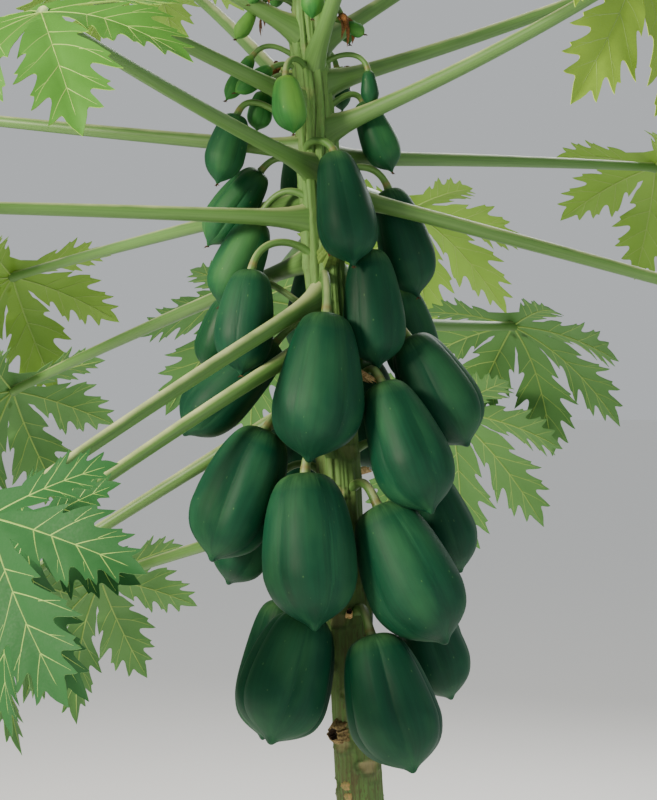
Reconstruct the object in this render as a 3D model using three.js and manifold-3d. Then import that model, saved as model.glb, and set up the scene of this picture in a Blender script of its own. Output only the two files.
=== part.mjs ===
// Papaya tree: one leaning stem, a column of ribbed green fruit hung on curved stalks,
// and a crown of long leaf stalks that each carry a deeply cut seven-lobed blade.
// Millimetres and degrees, +Z up. The origin is the middle of the flat cut at ground level.
// Bearings turn about +Z from +X, so 270 faces the front and 90 the back.
import * as THREE from "three";
import { mergeVertices } from "three/addons/utils/BufferGeometryUtils.js";
import Module from "manifold-3d";

const wasm = await Module();
wasm.setup();

// Turns one row of a table into named values and a numbered name
function nameRow(kind, fields, values, i) {
  const row = { name: `${kind}_${String(i + 1).padStart(2, "0")}` };
  fields.forEach((field, k) => {
    row[field] = values[k];
  });
  return row;
}

// Stem
const STEM = {
  height: 2120,
  lean: 0.067,
  footRadius: 42,
  taper: 0.0102,
  flare: 21,
  flareHeight: 75,
  flareLobes: 5,
  flareWave: 0.13,
  tipRounding: 70,
  tipShare: 0.5,
  sides: 12,
  rings: 22,
};

// Clearance that every stalk keeps to the stem
const SEAT_GAP = 0.3;
const SEAT_DEPTH = 9;

// Fruit: share of the length from the shoulder down, and share of the full radius there
const FRUIT_PROFILE = [
  [0.0, 0.0],
  [0.02, 0.45],
  [0.16, 0.76],
  [0.4, 0.95],
  [0.64, 1.0],
  [0.86, 0.64],
  [1.0, 0.0],
];
const FRUIT = {
  ribs: 5,
  ribDepth: 0.035,
  sides: 10,
  stalkSides: 4,
  stalkSteps: 3,
  stalkRadius: 3.4,
  stalkPerGirth: 0.022,
  stalkSink: 5,
  stalkPull: 0.5,
  stalkLift: 38,
};

// Each fruit: height and bearing of its middle, distance of that from the stem's axis,
// length, girth, outward lean and sideways swing of its tip, how far above its shoulder
// the stalk leaves the stem, and the stalk's turn round the stem from the fruit's bearing
const FRUIT_FIELDS = ["height", "bearing", "reach", "length", "girth", "lean", "swing", "rise", "turn"];
const FRUITS = [
  [1730, 245, 88, 87, 50, 2, 8, 18, 0],
  [1782, 180, 110, 78, 28, 30, 4, -8, 0],
  [1775, 196, 92, 68, 28, 55, 0, -6, 0],
  [1736, 167, 84, 60, 38, 10, 0, 12, 0],
  [1674, 186, 135, 110, 60, 16, 5, -28, 0],
  [1592, 158, 142, 140, 68, 35, 8, -8, -4],
  [1506, 174, 130, 142, 78, 24, 2, 30, 16],
  [1579, 292, 84, 172, 88, 10, 5, 8, 0],
  [1697, 10, 94, 116, 57, 22, -4, -16, -12],
  [1538, 14, 125, 170, 84, 16, 0, 12, 6],
  [1434, 324, 84, 178, 90, 7, -2, 24, 0],
  [1399, 34, 148, 158, 84, 14, 0, -8, 14],
  [1312, 356, 157, 187, 112, 29, -2, 22, 14],
  [1230, 315, 140, 206, 116, 22, 6, 10, 0],
  [1318, 259, 111, 220, 132, 10, -4, 50, 6],
  [1414, 205, 134, 158, 87, 8, 4, 24, 0],
  [1398, 157, 182, 120, 72, 18, 0, -34, -8],
  [1316, 171, 158, 198, 98, 44, 8, 20, 0],
  [1160, 203, 162, 210, 124, 24, 0, 20, 0],
  [1082, 247, 132, 228, 134, 8, 6, 20, 0],
  [1092, 166, 146, 160, 90, 24, 4, 24, 0],
  [1046, 313, 136, 224, 136, 26, 10, 20, 0],
  [1117, 6, 153, 166, 90, 20, 0, 26, 0],
  [890, 165, 124, 216, 108, 9, 0, 24, 0],
  [896, 226, 134, 198, 134, 25, 2, 20, 0],
  [862, 294, 126, 206, 134, 18, 9, 22, 0],
  [928, 4, 126, 168, 100, 19, 0, 24, 0],
  [934, 42, 172, 166, 92, 18, -4, 24, 0],
  [1650, 106, 96, 126, 66, 14, 0, 4, -16],
  [1440, 100, 118, 166, 90, 14, 0, -36, 4],
  [1275, 66, 128, 186, 106, 18, 0, 8, 12],
  [1230, 118, 130, 196, 110, 16, 0, 22, 0],
  [990, 98, 126, 206, 122, 14, 0, 24, 0],
].map((values, i) => nameRow("fruit", FRUIT_FIELDS, values, i));

// Leaf stalk and blade
const LEAF = {
  stalkSides: 5,
  stalkStops: [0, 0.1, 0.45, 1],
  stalkTip: 7.5,
  stalkShoulder: 12,
  stalkFlare: 3.5,
  flareShare: 0.06,
  flareTall: 0.4,
  thickness: 6,
  lobeAngles: [-126, -82, -40, 0, 40, 82, 126],
  lobeShares: [0.62, 0.82, 0.95, 1.0, 0.95, 0.82, 0.62],
  notchShare: 0.26,
  backShare: 0.5,
  toothShare: 0.6,
  toothSpread: 0.185,
  innerShare: 0.74,
  innerSpread: 0.08,
  droop: 0.34,
  hubStretch: 1.3,
};

// Each leaf: height where its stalk leaves the stem, bearing, rise of the stalk at the
// stem, change of that rise along it, stalk length, blade radius, and the blade's pitch
const LEAF_FIELDS = ["height", "bearing", "rise", "curl", "stalk", "blade", "pitch"];
const LEAVES = [
  [1646, 239, 9, 4, 640, 270, -28],
  [1745, 211, 18, 4, 600, 265, -14],
  [1676, 168, 6, 2, 690, 275, -30],
  [1571, 197, 1, -2, 700, 280, -38],
  [1604, 138, -6, -2, 720, 280, -44],
  [1514, 140, -14, -4, 720, 270, -52],
  [1452, 234, -22, -3, 735, 270, -58],
  [1392, 217, -27, -4, 560, 255, -66],
  [1312, 175, -31, -2, 540, 250, -70],
  [1852, 200, 24, 10, 560, 255, 0],
  [1808, 288, 36, 4, 560, 260, -4],
  [1835, 32, 32, 4, 570, 255, 0],
  [1885, 72, 42, 6, 520, 240, 10],
  [1735, 124, 38, -10, 620, 265, -10],
  [1774, 18, 18, 6, 660, 270, -16],
  [1704, 345, 20, 12, 640, 265, -12],
  [1664, 36, 4, -2, 700, 275, -34],
  [1612, 350, -15, -2, 730, 280, -50],
  [1420, 56, 0, 2, 560, 255, -34],
  [1133, 140, -13, -4, 520, 240, -56],
  [1628, 76, 4, -4, 660, 270, -34],
  [1515, 70, -18, -4, 690, 270, -52],
  [1558, 100, -4, -4, 680, 275, -46],
  [1900, 312, 12, -34, 640, 240, -58],
  [1965, 246, 46, 8, 460, 220, 18],
].map((values, i) => nameRow("leaf", LEAF_FIELDS, values, i));

// Youngest leaves: a bunch of upright stalks with small half-folded blades
const SHOOT = {
  budRadius: 12,
  budHeight: 46,
  budFoot: 0.85,
  budWaist: 0.6,
  budLow: 0.4,
  budHigh: 0.85,
  leaves: 3,
  bearing: 20,
  turn: 137.5,
  rise: 64,
  riseStep: 5,
  curl: 4,
  pitch: 46,
  stalk: 150,
  stalkStep: 55,
  blade: 70,
  bladeStep: 28,
  stalkRadius: 5,
  thickness: 3,
};

const LOOKS = {
  stem: { color: 0x7f9a5c, roughness: 0.75 },
  fruit: { color: 0x2c6a40, roughness: 0.45 },
  leaf: { color: 0x5d9a3c, roughness: 0.6 },
  shoot: { color: 0x8fbf52, roughness: 0.6 },
};

// Vertices closer than this are one
const MERGE = 1e-3;
const RING_TURNS = evenStops(LEAF.stalkSides)
  .slice(0, -1)
  .map((share) => share * 2 * Math.PI);

const rad = THREE.MathUtils.degToRad;
const tree = new THREE.Group();

function stemAxis(z) {
  return new THREE.Vector3(-STEM.lean * z, 0, z);
}

function stemRadius(z) {
  const shaft = STEM.footRadius - STEM.taper * z + STEM.flare * Math.exp(-z / STEM.flareHeight);
  const below = Math.max(0, STEM.height - z);
  const closing = STEM.tipShare + ((1 - STEM.tipShare) * below) / STEM.tipRounding;
  return shaft * Math.min(1, closing);
}

// Unit vector out of the stem at a bearing, tilted up by a rise
function outward(bearing, rise) {
  const flat = Math.cos(rad(rise));
  return new THREE.Vector3(
    Math.cos(rad(bearing)) * flat,
    Math.sin(rad(bearing)) * flat,
    Math.sin(rad(rise)),
  );
}

// Moves every vertex of a geometry and merges the ones that meet
function reshape(geometry, place) {
  geometry.deleteAttribute("normal");
  geometry.deleteAttribute("uv");
  const points = geometry.attributes.position;
  const point = new THREE.Vector3();
  for (let i = 0; i < points.count; i += 1) {
    point.fromBufferAttribute(points, i);
    const moved = place(point);
    points.setXYZ(i, moved.x, moved.y, moved.z);
  }
  return mergeVertices(geometry, MERGE);
}

function toSolid(geometry) {
  return new wasm.Manifold(
    new wasm.Mesh({
      numProp: 3,
      vertProperties: new Float32Array(geometry.attributes.position.array),
      triVerts: new Uint32Array(geometry.index.array),
    }),
  );
}

function toGeometry(solid) {
  const mesh = solid.getMesh();
  const geometry = new THREE.BufferGeometry();
  geometry.setAttribute("position", new THREE.BufferAttribute(mesh.vertProperties, 3));
  geometry.setIndex(new THREE.BufferAttribute(mesh.triVerts, 1));
  return geometry;
}

function addMesh(name, geometry, look) {
  const material = new THREE.MeshStandardMaterial({ ...look, metalness: 0, flatShading: true });
  const mesh = new THREE.Mesh(geometry, material);
  mesh.name = name;
  tree.add(mesh);
}

// The stem, grown all round by a margin: 0 for the stem itself
function stemGeometry(margin) {
  const drum = new THREE.CylinderGeometry(1, 1, STEM.height, STEM.sides, STEM.rings);
  drum.rotateX(Math.PI / 2);
  drum.translate(0, 0, STEM.height / 2);
  return reshape(drum, (point) => {
    const angle = Math.atan2(point.y, point.x);
    const share = Math.hypot(point.x, point.y);
    const wave = STEM.flareWave * Math.exp(-point.z / STEM.flareHeight);
    const radius = stemRadius(point.z) * (1 + wave * Math.cos(STEM.flareLobes * angle)) + margin;
    const axis = stemAxis(point.z);
    return new THREE.Vector3(
      axis.x + share * radius * Math.cos(angle),
      axis.y + share * radius * Math.sin(angle),
      point.z,
    );
  });
}

const stemSleeve = toSolid(stemGeometry(SEAT_GAP));

// A round limb of one thickness along a curve that stays in an upright plane
function limb(curve, steps, sides, radius) {
  const drum = new THREE.CylinderGeometry(radius, radius, 1, sides, steps);
  const up = new THREE.Vector3(0, 0, 1);
  const side = curve.getPoint(1).sub(curve.getPoint(0)).cross(up).normalize();
  const geometry = reshape(drum, (point) => {
    const share = 0.5 - point.y;
    const over = new THREE.Vector3().crossVectors(side, curve.getTangent(share));
    return curve
      .getPoint(share)
      .addScaledVector(side, -point.x)
      .addScaledVector(over.normalize(), point.z);
  });
  return toSolid(geometry);
}

function evenStops(steps) {
  return Array.from({ length: steps + 1 }, (_, i) => i / steps);
}

// Top, tip and axis of a fruit in the tree's frame
function fruitFrame(row) {
  const out = outward(row.bearing, 0);
  const around = outward(row.bearing + 90, 0);
  const down = new THREE.Vector3(0, 0, -1)
    .addScaledVector(out, Math.tan(rad(row.lean)))
    .addScaledVector(around, Math.tan(rad(row.swing)))
    .normalize();
  const middle = stemAxis(row.height).addScaledVector(out, row.reach);
  const top = middle.clone().addScaledVector(down, -row.length / 2);
  return { out, down, top };
}

function fruitBody(row) {
  const { out, down, top } = fruitFrame(row);
  const profile = FRUIT_PROFILE.map(
    ([share, width]) => new THREE.Vector2((width * row.girth) / 2, (1 - share) * row.length),
  );
  profile.reverse();
  const lathe = new THREE.LatheGeometry(profile, FRUIT.sides);
  const side = new THREE.Vector3().crossVectors(down, out).normalize();
  const over = new THREE.Vector3().crossVectors(side, down);
  const geometry = reshape(lathe, (point) => {
    const angle = Math.atan2(point.z, point.x);
    const rib = 1 + FRUIT.ribDepth * Math.cos(FRUIT.ribs * angle);
    return top
      .clone()
      .addScaledVector(down, row.length - point.y)
      .addScaledVector(side, -point.x * rib)
      .addScaledVector(over, point.z * rib);
  });
  return toSolid(geometry);
}

function fruitStalk(row) {
  const { down, top } = fruitFrame(row);
  const radius = FRUIT.stalkRadius + FRUIT.stalkPerGirth * row.girth;
  const rootHeight = top.z + row.rise;
  const rootWay = outward(row.bearing + row.turn, 0);
  const root = stemAxis(rootHeight).addScaledVector(rootWay, stemRadius(rootHeight) - SEAT_DEPTH);
  const end = top.clone().addScaledVector(down, FRUIT.stalkSink);
  const pull = FRUIT.stalkPull * root.distanceTo(end);
  const lift = outward(row.bearing + row.turn, FRUIT.stalkLift);
  const curve = new THREE.CubicBezierCurve3(
    root,
    root.clone().addScaledVector(lift, pull),
    end.clone().addScaledVector(down, -pull),
    end,
  );
  return limb(curve, FRUIT.stalkSteps, FRUIT.stalkSides, radius);
}

function leafStalkCurve(row, radial) {
  const root = stemAxis(row.height).addScaledVector(outward(row.bearing, 0), radial);
  const bend = root.clone().addScaledVector(outward(row.bearing, row.rise), row.stalk / 2);
  const end = bend.clone().addScaledVector(outward(row.bearing, row.rise + row.curl), row.stalk / 2);
  return new THREE.QuadraticBezierCurve3(root, bend, end);
}

// A point of the flat blade: out along a lobe's rib, then sideways from it
function patternSpot(radius, angle, reach, spread) {
  const way = new THREE.Vector2(reach * radius, spread * radius);
  return way.rotateAround(new THREE.Vector2(0, 0), rad(angle));
}

// Flat pattern of a blade. The fan holds the edges round the hub at point 0, and the rim
// the edges of the outline, both in order round the blade.
function bladePattern(radius) {
  const points = [new THREE.Vector2(0, 0)];
  const fan = [];
  const faces = [];
  const rim = [];
  const add = (angle, reach, spread) => points.push(patternSpot(radius, angle, reach, spread)) - 1;
  const back = add(180, LEAF.notchShare * LEAF.backShare, 0);
  let before = back;
  LEAF.lobeAngles.forEach((angle, i) => {
    const share = LEAF.lobeShares[i];
    const rib = add(angle, share * LEAF.innerShare, 0);
    const tip = add(angle, share, 0);
    const [toothR, toothL] = [-1, 1].map((way) =>
      add(angle, share * LEAF.toothShare, way * LEAF.toothSpread * share),
    );
    const [innerR, innerL] = [-1, 1].map((way) =>
      add(angle, share * LEAF.innerShare, way * LEAF.innerSpread * share),
    );
    const last = i === LEAF.lobeAngles.length - 1;
    const nextShare = LEAF.lobeShares[i + 1];
    const after = last
      ? back
      : add((angle + LEAF.lobeAngles[i + 1]) / 2, LEAF.notchShare * Math.min(share, nextShare), 0);
    fan.push([before, toothR], [toothR, rib], [rib, toothL], [toothL, after]);
    faces.push([rib, toothR, innerR], [rib, innerR, tip], [rib, innerL, toothL], [rib, tip, innerL]);
    rim.push([before, toothR], [toothR, innerR], [innerR, tip]);
    rim.push([tip, innerL], [innerL, toothL], [toothL, after]);
    before = after;
  });
  return { points, fan, faces, rim };
}

// Rings of the stalk's surface from the stem outwards, all but the one in the blade
function stalkRings(curve, side, halfSize) {
  return LEAF.stalkStops.slice(0, -1).map((stop) => {
    const over = new THREE.Vector3().crossVectors(curve.getTangent(stop), side);
    const [wide, tall] = halfSize(stop);
    return RING_TURNS.map((turn) =>
      curve
        .getPoint(stop)
        .addScaledVector(side, Math.cos(turn) * wide)
        .addScaledVector(over, Math.sin(turn) * tall),
    );
  });
}

// Triangles of the tube through the rings, with its first ring closed
function tubeTriangles(start, ringCount) {
  const sides = LEAF.stalkSides;
  const triangles = [];
  for (let ring = 0; ring < ringCount - 1; ring += 1) {
    for (let i = 0; i < sides; i += 1) {
      const a = start + ring * sides + i;
      const b = start + ring * sides + ((i + 1) % sides);
      triangles.push(a, b, a + sides, b, b + sides, a + sides);
    }
  }
  for (let i = 1; i < sides - 1; i += 1) {
    triangles.push(start, start + i + 1, start + i);
  }
  return triangles;
}

// Underside triangles between the blade's fan and the stalk's last ring
function hubTriangles({ points, fan }, hubSpots, below, lastRing) {
  const nearest = ([a, b]) => {
    const middle = points[a].clone().add(points[b]).normalize();
    const gaps = hubSpots.map((spot) => spot.clone().normalize().distanceTo(middle));
    return lastRing + gaps.indexOf(Math.min(...gaps));
  };
  const triangles = [];
  fan.forEach((edge, i) => {
    const here = nearest(edge);
    const next = nearest(fan[(i + 1) % fan.length]);
    triangles.push(here, edge[1] + below, edge[0] + below);
    if (next !== here) triangles.push(here, next, edge[1] + below);
  });
  return triangles;
}

// One closed leaf: the blade's pattern laid twice and joined by a rim, with a hole in its
// underside that the stalk's last ring fills
function leafSolid(row, radial, thickness, halfSize) {
  const curve = leafStalkCurve(row, radial);
  const centre = curve.getPoint(1);
  const forward = outward(row.bearing, row.pitch);
  const side = outward(row.bearing + 90, 0);
  const normal = new THREE.Vector3().crossVectors(forward, side);
  const pattern = bladePattern(row.blade);
  const bend = (point, lift) => {
    const share = point.length() / row.blade;
    return centre
      .clone()
      .addScaledVector(forward, point.x)
      .addScaledVector(side, point.y)
      .addScaledVector(normal, lift - LEAF.droop * share * share * row.blade);
  };
  const hub = halfSize(1)[0];
  const hubSpots = RING_TURNS.map(
    (turn) => new THREE.Vector2(-Math.sin(turn) * hub * LEAF.hubStretch, Math.cos(turn) * hub),
  );
  const upper = pattern.points.map((point) => bend(point, thickness / 2));
  const lower = pattern.points.map((point) => bend(point, -thickness / 2));
  const rings = stalkRings(curve, side, halfSize);
  rings.push(hubSpots.map((spot) => bend(spot, -thickness / 2)));

  const below = upper.length;
  const ringStart = 2 * below;
  const lastRing = ringStart + (rings.length - 1) * LEAF.stalkSides;
  const triangles = [
    ...tubeTriangles(ringStart, rings.length),
    ...hubTriangles(pattern, hubSpots, below, lastRing),
  ];
  pattern.fan.forEach(([a, b]) => triangles.push(0, a, b));
  pattern.faces.forEach(([a, b, c]) => {
    triangles.push(a, b, c, a + below, c + below, b + below);
  });
  pattern.rim.forEach(([a, b]) => {
    triangles.push(a, a + below, b + below, a, b + below, b);
  });
  const corners = [...upper, ...lower, ...rings.flat()].flatMap((point) => point.toArray());
  const geometry = new THREE.BufferGeometry();
  geometry.setAttribute("position", new THREE.Float32BufferAttribute(corners, 3));
  geometry.setIndex(triangles);
  return toSolid(mergeVertices(geometry, MERGE));
}

function leaf(row) {
  const halfSize = (share) => {
    const flare = LEAF.stalkFlare * Math.exp(-share / LEAF.flareShare);
    const round = LEAF.stalkTip + (LEAF.stalkShoulder - LEAF.stalkTip) * (1 - share) + flare;
    return [round, round * (1 + LEAF.flareTall * Math.exp(-share / LEAF.flareShare))];
  };
  const radial = stemRadius(row.height) - SEAT_DEPTH;
  return leafSolid(row, radial, LEAF.thickness, halfSize).subtract(stemSleeve);
}

function fruit(row) {
  return fruitBody(row).add(fruitStalk(row)).subtract(stemSleeve);
}

// Bud and youngest leaves, seated just above the flat top of the stem
function shoot() {
  const foot = stemAxis(STEM.height + SEAT_GAP);
  const budProfile = [
    new THREE.Vector2(0, 0),
    new THREE.Vector2(SHOOT.budRadius * SHOOT.budFoot, 0),
    new THREE.Vector2(SHOOT.budRadius, SHOOT.budHeight * SHOOT.budLow),
    new THREE.Vector2(SHOOT.budRadius * SHOOT.budWaist, SHOOT.budHeight * SHOOT.budHigh),
    new THREE.Vector2(0, SHOOT.budHeight),
  ];
  const bud = new THREE.LatheGeometry(budProfile, STEM.sides);
  let whole = toSolid(
    reshape(bud, (point) => new THREE.Vector3(point.x, -point.z, point.y).add(foot)),
  );
  const halfSize = () => [SHOOT.stalkRadius, SHOOT.stalkRadius];
  for (let i = 0; i < SHOOT.leaves; i += 1) {
    const older = SHOOT.leaves - 1 - i;
    const row = {
      height: STEM.height + SHOOT.budHeight * SHOOT.budLow,
      bearing: SHOOT.bearing + i * SHOOT.turn,
      rise: SHOOT.rise + i * SHOOT.riseStep,
      curl: SHOOT.curl,
      stalk: SHOOT.stalk + older * SHOOT.stalkStep,
      blade: SHOOT.blade + older * SHOOT.bladeStep,
      pitch: SHOOT.pitch,
    };
    whole = whole.add(leafSolid(row, 0, SHOOT.thickness, halfSize));
  }
  return whole;
}

addMesh("trunk", stemGeometry(0), LOOKS.stem);
FRUITS.forEach((row) => addMesh(row.name, toGeometry(fruit(row)), LOOKS.fruit));
LEAVES.forEach((row) => addMesh(row.name, toGeometry(leaf(row)), LOOKS.leaf));
addMesh("shoot_tip", toGeometry(shoot()), LOOKS.shoot);

export default tree;
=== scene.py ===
"""Papaya tree: bark with leaf scars, waxy green fruit on curved stalks, and a crown of long
leaf stalks that carry deeply cut seven-lobed blades.

Sizes are in millimetres and degrees, +Z up, and become metres when a mesh is made. Bearings
turn about +Z from +X, so 270 faces the front and 90 the back.
"""

import logging
import math
from dataclasses import dataclass, field
from enum import Enum
from functools import partial
from typing import Any, Callable, Sequence

import bmesh
import bpy
import numpy as np
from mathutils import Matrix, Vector
from mathutils.geometry import delaunay_2d_cdt

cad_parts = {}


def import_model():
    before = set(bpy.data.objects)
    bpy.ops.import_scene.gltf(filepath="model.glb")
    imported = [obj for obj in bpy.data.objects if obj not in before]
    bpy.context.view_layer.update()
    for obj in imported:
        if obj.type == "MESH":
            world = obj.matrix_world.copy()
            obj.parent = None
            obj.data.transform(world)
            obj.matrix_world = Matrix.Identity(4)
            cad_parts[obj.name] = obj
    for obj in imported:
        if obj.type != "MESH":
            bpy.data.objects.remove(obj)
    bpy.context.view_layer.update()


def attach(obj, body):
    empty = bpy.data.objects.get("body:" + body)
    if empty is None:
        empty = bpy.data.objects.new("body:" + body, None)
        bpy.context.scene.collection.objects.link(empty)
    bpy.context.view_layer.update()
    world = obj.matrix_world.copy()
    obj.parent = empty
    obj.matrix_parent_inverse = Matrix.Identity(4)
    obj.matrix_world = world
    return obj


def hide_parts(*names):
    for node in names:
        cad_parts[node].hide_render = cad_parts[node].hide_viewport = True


LOG = logging.getLogger("papaya")
MM = 0.001
BODY = "root"
TURN = 2 * math.pi
CLOSE = 1e-6
DOWN = np.array([0.0, 0.0, -1.0])
# For faces that use points already in a batch
NO_POINTS = np.zeros((0, 3))

Socket = bpy.types.NodeSocket
# Adds a node to one material and gives its output
Adder = Callable[..., Socket]


class Slot(Enum):
    """Material slots of the record."""

    STEM = "stem"
    FRUIT = "fruit"
    LEAF = "leaf"


class Ends(Enum):
    """How the two ends of a drum are closed."""

    FLAT = "flat"
    POINTED = "pointed"


# Geometry on numbers


def outward(bearing: float, rise: float = 0.0) -> np.ndarray:
    """Unit vector out of the stem.

    Args:
        bearing: degrees about +Z from +X.
        rise: degrees above the level.

    Returns:
        The vector.
    """
    flat = math.cos(math.radians(rise))
    way = math.radians(bearing)
    return np.array([math.cos(way) * flat, math.sin(way) * flat, math.sin(math.radians(rise))])


def unit(vector: np.ndarray) -> np.ndarray:
    """The vector, or each row of vectors, at length 1."""
    return vector / np.linalg.norm(vector, axis=-1, keepdims=True)


def moved(start: np.ndarray, *moves: tuple[np.ndarray, np.ndarray]) -> np.ndarray:
    """Points that leave a start, each by its own amounts along given directions."""
    return sum((np.outer(amount, way) for amount, way in moves), start)


def spin(angle: float) -> np.ndarray:
    """Matrix that turns rows of flat spots by an angle in degrees."""
    way = math.radians(angle)
    return np.array([[math.cos(way), math.sin(way)], [-math.sin(way), math.cos(way)]])


def bezier(corners: Sequence[np.ndarray], share: np.ndarray) -> np.ndarray:
    """Points of a Bezier curve.

    Args:
        corners: its three or four control points.
        share: where along it, from 0 to 1.

    Returns:
        One row per share.
    """
    level = [np.outer(np.ones_like(share), corner) for corner in corners]
    t = share[:, None]
    while len(level) > 1:
        level = [a * (1 - t) + b * t for a, b in zip(level, level[1:])]
    return level[0]


def smooth_through(table: Sequence[Sequence[float]], share: np.ndarray) -> np.ndarray:
    """A smooth curve through the rows of a table, each row taking an even step.

    Args:
        table: rows of numbers.
        share: where along the table, from 0 at its first row to 1 at its last.

    Returns:
        One row per share.
    """
    rows = np.array(table, float)
    padded = np.vstack([2 * rows[0] - rows[1], rows, 2 * rows[-1] - rows[-2]])
    at = np.clip(share, 0, 1) * (len(rows) - 1)
    i = np.minimum(at.astype(int), len(rows) - 2)
    t = (at - i)[:, None]
    p0, p1, p2, p3 = (padded[i + k] for k in range(4))
    bend = (2 * p0 - 5 * p1 + 4 * p2 - p3) * t**2
    return 0.5 * (2 * p1 + (p2 - p0) * t + bend + (3 * p1 - p0 - 3 * p2 + p3) * t**3)


def ease(value: np.ndarray) -> np.ndarray:
    """0 to 1 with a soft start and end."""
    value = np.clip(value, 0, 1)
    return value * value * (3 - 2 * value)


def hump(value: np.ndarray, middle: float, width: float) -> np.ndarray:
    """1 at a middle value, and falling to 0 within a few widths on both sides."""
    return np.exp(-(((value - middle) / width) ** 2))


def turn_between(a: np.ndarray, b: Any) -> np.ndarray:
    """Smallest turn from b to each angle of a, in radians."""
    return (a - b + math.pi) % TURN - math.pi


def section_frames(path: np.ndarray, side: np.ndarray) -> tuple[np.ndarray, np.ndarray]:
    """Directions across a path, carried along it without twist.

    Args:
        path: points in order.
        side: roughly sideways at its first point.

    Returns:
        Sideways and upward unit vectors at each point.
    """
    ahead = unit(np.gradient(path, axis=0))
    sides = []
    for tangent in ahead:
        side = unit(side - tangent * side.dot(tangent))
        sides.append(side)
    sides = np.array(sides)
    return sides, np.cross(ahead, sides)


# The stem's own form, which every other part starts from


@dataclass(frozen=True)
class StemForm:
    """Axis and thickness of the stem."""

    height: float = 2120.0
    lean: float = 0.067
    foot_radius: float = 42.0
    taper: float = 0.0102
    flare: float = 21.0
    flare_height: float = 75.0
    flare_lobes: int = 5
    flare_wave: float = 0.13
    tip_rounding: float = 70.0
    tip_share: float = 0.5
    seat_depth: float = 9.0

    def axis(self, z: Any) -> np.ndarray:
        """Middle of the stem at a height."""
        z = np.asarray(z, float)
        return np.stack([-self.lean * z, np.zeros_like(z), z], axis=-1)

    def radius(self, z: Any) -> np.ndarray:
        """Radius of the plain stem.

        Args:
            z: one height or more.

        Returns:
            The radius at each.
        """
        z = np.asarray(z, float)
        shaft = self.foot_radius - self.taper * z + self.flare * np.exp(-z / self.flare_height)
        left = np.maximum(0, self.height - z) / self.tip_rounding
        return shaft * np.minimum(1, self.tip_share + (1 - self.tip_share) * left)

    def lobes(self, angle: np.ndarray, z: np.ndarray) -> np.ndarray:
        """Share by which the root flare swells and hollows round the foot."""
        return 1 + self.flare_wave * np.exp(-z / self.flare_height) * np.cos(self.flare_lobes * angle)

    def seat(self, height: float, bearing: float, depth: float) -> np.ndarray:
        """Point at a height and bearing, a depth inside the stem's surface."""
        return self.axis(height) + outward(bearing) * (self.radius(height) - depth)


STEM = StemForm()


@dataclass(frozen=True)
class FruitRow:
    """Place and size of one fruit.

    Attributes:
        height: height of its middle.
        bearing: bearing of its middle.
        reach: distance of its middle from the stem's axis.
        length: from its shoulder to its tip.
        girth: how wide it is.
        lean: how far the tip leans outwards.
        swing: how far the tip swings sideways.
        rise: how far above the shoulder its stalk leaves the stem.
        turn: how far round the stem the stalk's foot is turned.
    """

    height: float
    bearing: float
    reach: float
    length: float
    girth: float
    lean: float
    swing: float
    rise: float
    turn: float

    def frame(self) -> tuple[np.ndarray, np.ndarray, np.ndarray]:
        """How the fruit hangs.

        Returns:
            Outward and downward directions, and the top of the shoulder.
        """
        out = outward(self.bearing)
        leaning = out * math.tan(math.radians(self.lean))
        swinging = outward(self.bearing + 90) * math.tan(math.radians(self.swing))
        down = unit(DOWN + leaning + swinging)
        middle = STEM.axis(self.height) + out * self.reach
        return out, down, middle - down * self.length / 2


FRUITS = [
    FruitRow(*row)
    for row in (
        (1730, 245, 88, 87, 50, 2, 8, 18, 0),
        (1782, 180, 110, 78, 28, 30, 4, -8, 0),
        (1775, 196, 92, 68, 28, 55, 0, -6, 0),
        (1736, 167, 84, 60, 38, 10, 0, 12, 0),
        (1674, 186, 135, 110, 60, 16, 5, -28, 0),
        (1592, 158, 142, 140, 68, 35, 8, -8, -4),
        (1506, 174, 130, 142, 78, 24, 2, 30, 16),
        (1579, 292, 84, 172, 88, 10, 5, 4, -64),
        (1697, 10, 94, 116, 57, 22, -4, -16, -12),
        (1538, 14, 125, 170, 84, 16, 0, 12, 6),
        (1434, 324, 84, 178, 90, 7, -2, 24, 0),
        (1399, 34, 148, 158, 84, 14, 0, -8, 14),
        (1312, 356, 157, 187, 112, 29, -2, 22, 14),
        (1230, 315, 140, 206, 116, 22, 6, -10, 35),
        (1318, 259, 111, 220, 132, 10, -4, 50, 6),
        (1414, 205, 134, 158, 87, 8, 4, 24, 0),
        (1398, 157, 182, 120, 72, 18, 0, -34, -8),
        (1316, 171, 158, 198, 98, 44, 8, 20, 0),
        (1160, 203, 162, 210, 124, 24, 0, 20, 0),
        (1082, 247, 132, 228, 134, 8, 6, 20, 0),
        (1092, 166, 146, 160, 90, 24, 4, 24, 0),
        (1046, 313, 136, 224, 136, 26, 10, 20, 0),
        (1117, 6, 153, 166, 90, 20, 0, 26, 0),
        (890, 165, 124, 216, 108, 9, 0, 24, 0),
        (896, 226, 134, 198, 134, 25, 2, 20, 0),
        (862, 294, 126, 206, 134, 18, 9, 22, 0),
        (928, 4, 126, 168, 100, 19, 0, 24, 0),
        (934, 42, 172, 166, 92, 18, -4, 24, 0),
        (1650, 106, 96, 126, 66, 14, 0, 4, -16),
        (1440, 100, 118, 166, 90, 14, 0, -36, 4),
        (1275, 66, 128, 186, 106, 18, 0, 8, 12),
        (1230, 118, 130, 196, 110, 16, 0, 22, 0),
        (990, 98, 126, 206, 122, 14, 0, 24, 0),
    )
]

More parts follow.
